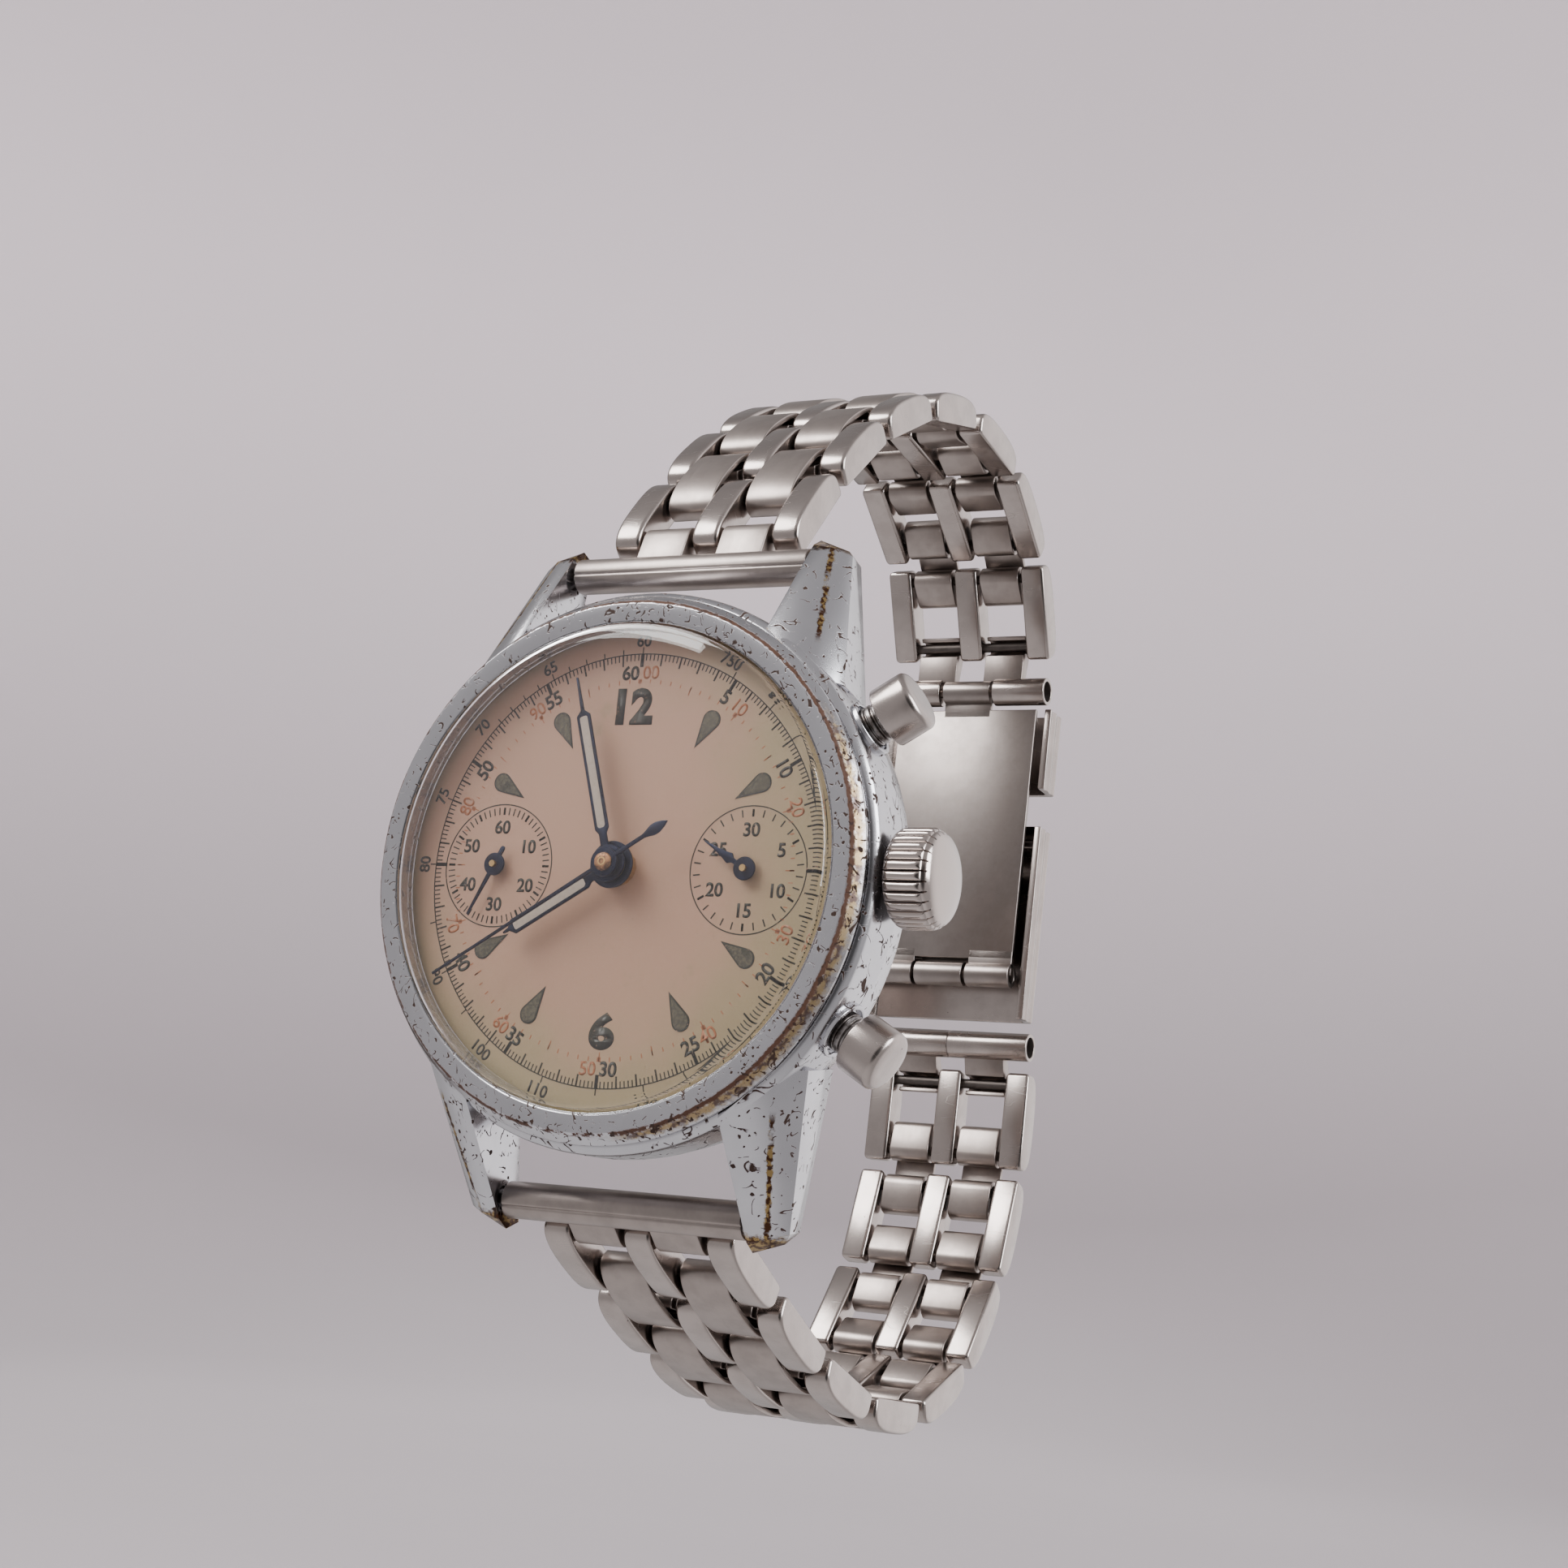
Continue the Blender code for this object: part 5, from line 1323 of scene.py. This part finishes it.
def rows_of(side):
    """Bodies of one half in order, each with its frame and the distance to its far pin."""
    names = ["end_bar_" + side]
    count = 1
    while "link_%s_a%d" % (side, count) in PINS:
        names.append("link_%s_a%d" % (side, count))
        if "link_%s_b%d" % (side, count) in PINS:
            names.append("link_%s_b%d" % (side, count))
        count += 1
    names.append("clasp_link_" + side)
    rows = []
    for index, name in enumerate(names):
        here = PINS[name]
        if index + 1 < len(names):
            beyond = PINS[names[index + 1]]
        elif side == "upper":
            beyond = PINS["inner_fold"]
        else:
            beyond = here + LAST_STEP
        step = beyond - here
        heading = math.degrees(math.atan2(step.z, step.y))
        rows.append((name, link_frame(here, heading, side), math.hypot(step.y, step.z)))
    return rows


def numbered(mesh, number):
    """All faces of a mesh on one material number."""
    for face in mesh.polygons:
        face.material_index = number
    return mesh


def arc(centre, radius, first, last, count):
    """Points on an arc about a pin, in degrees from +y towards +z."""
    return [(centre + radius * math.cos(math.radians(first + (last - first) * k / (count - 1))),
             radius * math.sin(math.radians(first + (last - first) * k / (count - 1))))
            for k in range(count)]


def arched(near, far, foot, full, top=RISE):
    """Points of a loaf-shaped top from the far end to the near one."""
    points = []
    for k in range(33):
        turn = math.pi * k / 32
        share = math.copysign(abs(math.cos(turn)) ** (2 / full), math.cos(turn))
        points.append(((near + far) / 2 + (far - near) / 2 * share,
                       foot + (top - foot) * math.sin(turn) ** (2 / full)))
    return points


def loaf(half, edge, outline, rounds=4):
    """A plate along x with rounded edges; outline(inset) gives its section in y and z."""
    rows = []
    for side in (-1, 1):
        for k in range(rounds + 1):
            turn = math.pi / 2 * (k if side < 0 else rounds - k) / rounds
            rows.append((side * (half - edge * (1 - math.cos(turn))), edge * (1 - math.sin(turn))))
    work = bmesh.new()
    loops = [[work.verts.new((x, y, z)) for y, z in outline(inset)] for x, inset in rows]
    for first, second in zip(loops, loops[1:]):
        for index in range(len(first)):
            after = (index + 1) % len(first)
            work.faces.new((first[index], first[after], second[after], second[index]))
    work.faces.new(loops[0])
    work.faces.new(loops[-1])
    return fresh("loaf", work, 50.0)


def inner_plate(outline, edge, rounds, angle):
    """A section in y and z made an inner plate, with its edges rounded."""
    return broken_edges(along_x(slab("inner", outline, -B_WIDTH / 2, B_WIDTH / 2)), edge, rounds,
                        angle)


def inner_pair(name, plate):
    """The two inner plates of a row."""
    return repeated(name, plate, 2, (-B_OFFSET, 0, 0), (2 * B_OFFSET, 0, 0), satin_steel)


def a_plate():
    """One plate of an A row: flat cheeks under a loaf-shaped top."""
    def section(inset):
        near, far, low = -1.02 + inset, A_PITCH + 1.02 - inset, -DROP + inset * 0.6
        corner = 0.3 - inset * 0.4
        points = arched(near, far, 0.0, 2.75, RISE - inset)
        points += [(near, low + corner), (near + corner * 0.3, low + corner * 0.3),
                   (near + corner, low)]
        points += [(far - corner, low), (far - corner * 0.3, low + corner * 0.3),
                   (far, low + corner)]
        return points
    return loaf(A_WIDTH / 2, sizes().link_break, section)


def b_plate():
    """One folded plate of a B row: an open eye at its near pin, a full roll at the far one."""
    near, far = B_PITCH / 2 - 3.95, B_PITCH / 2 + 3.95
    bore = PIN_RADIUS + 0.2
    outer = [(far - 0.6, -DROP + 0.1), (far - 0.28, -0.70), (far - 0.08, -0.35)]
    outer += arched(near, far, 0.05, 2.3)
    outer += [(near + 0.08, -0.35), (near + 0.28, -0.70), (near + 0.6, -DROP + 0.1)]
    hook_out = arc(0, DROP, -90, 50, 12)
    hook_in = arc(0, bore, 50, -115, 12)
    inner = eased([(near + 0.75, -0.45), (near + 0.6, 0.0), (near + 0.95, 0.4),
                   (near + 2.1, RISE - SHEET), (far - 2.1, RISE - SHEET), (far - 0.95, 0.4),
                   (far - 0.9, -0.05)], 0.35, 3, False)
    roll = arc(B_PITCH, DROP, -230, -90, 14)
    outline = outer + hook_out + hook_in + inner + roll
    return inner_plate(outline, 0.10, 3, 50.0)


def row_pin(spot):
    """The pin of a row, hidden inside its outer plates."""
    return numbered(across_rod(PIN_RADIUS, -BRACELET_HALF + 0.6, BRACELET_HALF - 0.6, (spot, 0),
                               20), 1)


def end_bar(tab):
    """Tube between the lugs with a seam, and two tabs out to the first pin."""
    half, radius = 8.7, 1.2
    outer = []
    for k in range(72):
        angle = 2 * math.pi * k / 72
        notch = 0.10 if k == 26 else 0.0
        outer.append(((radius - notch) * math.cos(angle), (radius - notch) * math.sin(angle)))
    tube = along_x(framed("tube", outer, disc_outline(0.8, 72), -half, half))
    tube = broken_edges(tube, 0.06, 2, 60.0)
    outline = [(radius - 0.25, -0.5), (tab - 0.2, -DROP + 0.1)] + arc(tab, DROP, -90, 90, 16)
    outline += [(tab - 0.3, DROP), (radius - 0.25, 0.55)]
    tabs = inner_pair("tabs", inner_plate(outline, 0.07, 2, 40.0))
    return one_mesh("end_bar", [numbered(tube, 2), numbered(tabs, 0), row_pin(tab)])


def clasp_link(reach, divided):
    """Two hooks on the last A pin and the clasp tube beyond, in two halves or whole."""
    bore = PIN_RADIUS + 0.2
    outline = [(reach - CLASP_TUBE + 0.3, -0.45), (reach - CLASP_TUBE + 0.3, 0.45), (0.6, DROP)]
    outline += arc(0, DROP, 100, 220, 12) + arc(0, bore, 220, 0, 14) + [(bore + 0.25, -0.45)]
    hooks = inner_pair("hooks", inner_plate(outline, 0.06, 2, 40.0))
    shapes = [numbered(hooks, 0)]
    waist = 2.4 if divided else 0.0
    for side in (1, -1):
        profile = eased([(0, waist), (CLASP_TUBE, waist), (CLASP_TUBE, BRACELET_HALF),
                         (CLASP_TUBE - 0.3, BRACELET_HALF),
                         (CLASP_TUBE - 0.35, BRACELET_HALF - 2.0), (0, BRACELET_HALF - 2.0)],
                        (0, 0.08, 0.09, 0.09, 0.05, 0), 3, False)
        tube = turned("tube", profile, 56)
        for face in tube.polygons:
            # The recess inside the tube's end takes material 1, the dark steel of painted shade.
            inside = face.center.z > BRACELET_HALF - 2.01 and math.hypot(
                face.center.x, face.center.y) < CLASP_TUBE - 0.29
            face.material_index = 1 if inside else 2
        along_x(tube)
        if side < 0:
            settled(tube, Matrix.Scale(-1, 4, (1, 0, 0)))
        shapes.append(settled(tube, Matrix.Translation((0, reach, 0))))
    shapes.append(numbered(across_rod(PIN_RADIUS, -2.6, 2.6, (reach, 0), 20), 2))
    return one_mesh("clasp_link", shapes)


class WATCH_OT_bracelet(bpy.types.Operator):
    """Every row of the bracelet, on its own body"""
    bl_idname = "watch.bracelet"
    bl_label = "Bracelet"

    def execute(self, context):
        a_row = repeated("a_row", a_plate(), 3, (-A_STEP, 0, 0), (A_STEP, 0, 0), polished_steel)
        a_row = one_mesh("a_row", [numbered(a_row, 0), row_pin(A_PITCH)])
        b_row = inner_pair("b_row", b_plate())
        b_row = one_mesh("b_row", [numbered(b_row, 0), row_pin(B_PITCH)])
        for side in ("upper", "lower"):
            for name, place, length in rows_of(side):
                # Material 1 is the dark steel of pins and bores: painted shade.
                makers = [satin_steel, dark_gap]
                if name.startswith("end_bar"):
                    mesh = end_bar(length)
                    makers.append(bar_steel)
                elif name.startswith("clasp_link"):
                    mesh = clasp_link(length, side == "upper")
                    makers.append(polished_steel)
                elif "_a" in name:
                    mesh = a_row.copy()
                    makers = [polished_steel, dark_gap]
                else:
                    mesh = b_row.copy()
                mesh.shade_smooth()
                mesh.set_sharp_from_angle(angle=math.radians(50))
                add_piece(name + "_row", mesh, name, makers, [name], place)
        bpy.data.meshes.remove(a_row)
        bpy.data.meshes.remove(b_row)
        return {"FINISHED"}


# ---- clasp --------------------------------------------------------------------------------
def clasp_frame():
    """Frame of the closed clasp, on the axis of its upper tube."""
    return link_frame(PINS["inner_fold"], CLASP_HEADING, "upper")


def cover(start, end, low, ribs=2):
    """A cover: a slightly crowned plate with ribbed side walls rolled inwards."""
    left = []
    for k in range(12 * ribs + 1):
        share = k / (12 * ribs)
        groove = 0.11 * (0.5 - 0.5 * math.cos(2 * math.pi * ribs * share))
        left.append((-CLASP_HALF + groove, low + (CLASP_TOP - 0.42 - low) * share))
    curve = [(-CLASP_HALF + 0.42 - 0.42 * math.cos(math.radians(a)),
              CLASP_TOP - 0.42 + 0.40 * math.sin(math.radians(a))) for a in (15, 35, 55, 75)]
    half = left + curve + [(-4.5, CLASP_TOP - 0.005), (-2.2, CLASP_TOP)]
    outer = half + [(-x, z) for x, z in reversed(half)]
    inside = CLASP_HALF - 0.6
    inner = [(inside, low), (inside, CLASP_TOP - 0.8), (inside - 0.2, CLASP_TOP - 0.6),
             (-inside + 0.2, CLASP_TOP - 0.6), (-inside, CLASP_TOP - 0.8), (-inside, low)]
    mesh = slab("cover", outer + inner, -end, -start)
    settled(mesh, Matrix(((1, 0, 0, 0), (0, 0, -1, 0), (0, 1, 0, 0), (0, 0, 0, 1))))
    return broken_edges(mesh, 0.09, 3, 60.0)


class WATCH_OT_clasp(bpy.types.Operator):
    """Folding clasp: two covers and two blades"""
    bl_idname = "watch.clasp"
    bl_label = "Clasp"

    def execute(self, context):
        place = clasp_frame()
        near = cover(1.35, 8.25, 0.55)
        add_piece("short_cover_plate", near, "inner_fold", polished_steel,
                  ["short_cover"], place)
        long_start = 11.45
        far = cover(long_start, cover_far_end(), 0.75)
        hinge_spot = (long_start + 1.3, 1.75)
        pin = across_rod(PIN_RADIUS, -6.9, 6.9, hinge_spot, 20)
        add_piece("long_cover_plate", one_mesh("cover", [far, numbered(pin, 0)]), "cover",
                  polished_steel, ["long_cover"], place)
        length, half, neck_half, side_slit = 24.2, 6.2, 2.1, 0.3
        low, space, roll = -0.1, 0.45, 1.0
        fold = (length, low + 2 * SHEET + space - roll)
        outer_half = (half - neck_half - side_slit) / 2
        roll_at = neck_half + side_slit + outer_half

        def strip(middle, wide, start, end, level, edge=0.06):
            """A flat piece of a blade, with its edges rounded."""
            return broken_edges(bar((middle - wide, start, level),
                                    (middle + wide, end, level + SHEET)), edge, 2)

        shapes = [strip(0, half, CLASP_TUBE + 0.4, length - 1.3, low, 0.08),
                  strip(0, neck_half, 0.3, 2.2, low),
                  across_rod(roll, -neck_half, neck_half, (0, 0), 40, 0.08)]
        for middle in (roll_at, -roll_at):
            shapes.append(strip(middle, outer_half, length - 2.0, length, low))
            shapes.append(across_rod(roll, middle - outer_half, middle + outer_half, fold, 40,
                                     0.06, 0.62))
        shapes.append(across_rod(PIN_RADIUS, -2.7, 2.7, fold, 20))
        add_piece("inner_blade_plate", one_mesh("blade", shapes), "inner_fold",
                  blade_steel, ["inner_blade"], place)
        level = low + SHEET + space
        shapes = [strip(0, 5.9, hinge_spot[0] + 1.15, length - 1.3, level, 0.08),
                  across_rod(roll, -neck_half, neck_half, fold, 40, 0.08),
                  across_rod(0.85, -neck_half, neck_half, hinge_spot, 40, 0.08),
                  strip(0, neck_half, length - 2.0, length, level),
                  strip(0, neck_half, hinge_spot[0], hinge_spot[0] + 2.0, level)]
        add_piece("middle_blade_plate", one_mesh("leaf", shapes), "middle_fold",
                  blade_steel, ["middle_blade"], place)
        return {"FINISHED"}


def cover_far_end():
    """Far end of the long cover, a gap short of the lower clasp tube."""
    tube = PINS["clasp_link_lower"] + LAST_STEP
    tube.x = 0
    return (clasp_frame().inverted() @ tube).y - CLASP_TUBE - COVER_GAP


class WATCH_OT_works(bpy.types.Operator):
    """Finishes of the works inside the case"""
    bl_idname = "watch.works"
    bl_label = "Works"

    def execute(self, context):
        for node in ("main_plate", "movement_bridge", "hour_wheel", "chrono_wheel",
                     "seconds_wheel", "counter_wheel", "mainspring_barrel", "balance_wheel"):
            paint_node(node, brushed_brass)
        for node in ("winding_stem", "spring_bar_upper", "spring_bar_lower"):
            paint_node(node, stem_steel)
        return {"FINISHED"}


# ---- stage --------------------------------------------------------------------------------
def lamp(name, spot, aim, size, power, colour=(1.0, 1.0, 1.0)):
    """A soft rectangular lamp; places in metres."""
    data = bpy.data.lights.new(name, "AREA")
    data.shape = "RECTANGLE"
    data.size, data.size_y = size
    data.energy = power
    data.color = colour
    light = bpy.data.objects.new(name, data)
    bpy.context.scene.collection.objects.link(light)
    light.location = spot
    light.rotation_euler = (Vector(aim) - Vector(spot)).to_track_quat("-Z", "Y").to_euler()
    return light


def room_light(tree):
    """Soft surroundings: bright behind the crown side, brighter below, dim in front and above."""
    place = tree.nodes.new("ShaderNodeTexCoord")
    split = tree.nodes.new("ShaderNodeSeparateXYZ")
    tree.links.new(place.outputs["Generated"], split.inputs[0])
    x, y, z = (Wire(tree, split.outputs[index]) for index in range(3))

    def lobe(aim, low, high):
        """0 to 1 towards a direction, by the cosine of the angle to it."""
        made = tree.nodes.new("ShaderNodeMapRange")
        made.interpolation_type = "SMOOTHSTEP"
        across = x * aim[0] + y * aim[1] + z * aim[2]
        tree.links.new(across.socket, made.inputs["Value"])
        made.inputs["From Min"].default_value = low
        made.inputs["From Max"].default_value = high
        return Wire(tree, made.outputs[0])

    tone = 0.50 + lobe((0.45, 0.87, 0.20), 0.55, 0.92) * 1.10
    tone = tone * (1.0 - lobe((0.52, -0.85, -0.05), 0.76, 0.95) * 0.85)
    tone = tone * (1.0 - lobe((-0.47, 0.65, 0.60), 0.60, 0.95) * 0.35)
    tone = tone * (1.0 + lobe((-0.30, 0.0, -0.95), 0.40, 0.95) * 0.60)
    shade = tree.nodes["Background"]
    shade.inputs["Color"].default_value = (1.0, 0.955, 0.965, 1.0)
    tree.links.new(tone.socket, shade.inputs["Strength"])


class WATCH_OT_stage(bpy.types.Operator):
    """Pale paper sweep, soft lamps and the camera"""
    bl_idname = "watch.stage"
    bl_label = "Stage"

    def execute(self, context):
        profile = [(radius, PAPER_LEVEL) for radius in (0, 300, 600)]
        profile += [(620 + 320 * math.sin(math.radians(a)), 245 - 320 * math.cos(math.radians(a)))
                    for a in range(6, 91, 6)]
        profile += [(940, 600), (940, 1100)]
        mesh = settled(turned("paper_sweep", profile, 96), Matrix.Scale(MM, 4))
        mesh.materials.append(finish(studio_paper))
        sweep = bpy.data.objects.new("paper_sweep", mesh)
        context.scene.collection.objects.link(sweep)
        sweep.visible_glossy = False
        lamp("key", (-0.35, -0.35, 0.50), (0, 0.01, 0), (0.45, 0.35), 5.6, (1.0, 0.98, 0.97))
        lamp("side", (0.62, -0.05, 0.25), (0, 0.01, 0), (0.30, 0.50), 4.5, (0.97, 0.98, 1.0))
        top = lamp("top", (0.05, 0.25, 0.70), (0, 0.02, 0), (0.60, 0.40), 1.7)
        back = lamp("back", (-0.30, 0.60, 0.30), (0, 0.02, 0), (0.30, 0.30), 2.0)
        top.visible_glossy = back.visible_glossy = False
        world = context.scene.world or bpy.data.worlds.new("studio")
        context.scene.world = world
        world.use_nodes = True
        room_light(world.node_tree)
        data = bpy.data.cameras.new("camera")
        data.sensor_width = 36.0
        data.lens = CAMERA_LENS
        data.clip_start = 0.005
        data.clip_end = 10.0
        camera = bpy.data.objects.new("camera", data)
        context.scene.collection.objects.link(camera)
        right, ahead = CAMERA_RIGHT.normalized(), CAMERA_AHEAD.normalized()
        up = right.cross(ahead).normalized()
        right = ahead.cross(up).normalized()
        turn = Matrix((right, up, -ahead)).transposed()
        camera.matrix_world = Matrix.Translation(CAMERA_PLACE) @ turn.to_4x4()
        context.scene.camera = camera
        return {"FINISHED"}


class WATCH_PT_panel(bpy.types.Panel):
    """Sizes, colours and builders of the watch"""
    bl_idname = "WATCH_PT_panel"
    bl_label = "Chronograph wristwatch"
    bl_space_type = "VIEW_3D"
    bl_region_type = "UI"
    bl_category = "Watch"

    def draw(self, context):
        for group in (context.scene.watch_sizes, context.scene.watch_colours):
            box = self.layout.box()
            for name in group.__annotations__:
                box.prop(group, name)
        for operator in OPERATORS:
            self.layout.operator(operator.bl_idname)


OPERATORS = (WATCH_OT_case, WATCH_OT_bezel, WATCH_OT_dial, WATCH_OT_printing, WATCH_OT_hands,
             WATCH_OT_crown, WATCH_OT_bracelet, WATCH_OT_clasp, WATCH_OT_works, WATCH_OT_stage)
CLASSES = (WatchSizes, WatchColours) + OPERATORS + (WATCH_PT_panel,)


def register():
    """Make the add-on's classes known."""
    for made in CLASSES:
        bpy.utils.register_class(made)
    bpy.types.Scene.watch_sizes = bpy.props.PointerProperty(type=WatchSizes)
    bpy.types.Scene.watch_colours = bpy.props.PointerProperty(type=WatchColours)


def unregister():
    """Take the add-on's classes away."""
    del bpy.types.Scene.watch_colours
    del bpy.types.Scene.watch_sizes
    for made in reversed(CLASSES):
        bpy.utils.unregister_class(made)


def main():
    """Build every piece in order."""
    register()
    for operator in OPERATORS:
        group, name = operator.bl_idname.split(".")
        getattr(getattr(bpy.ops, group), name)()
    bpy.context.view_layer.update()


if __name__ == "__main__":
    main()
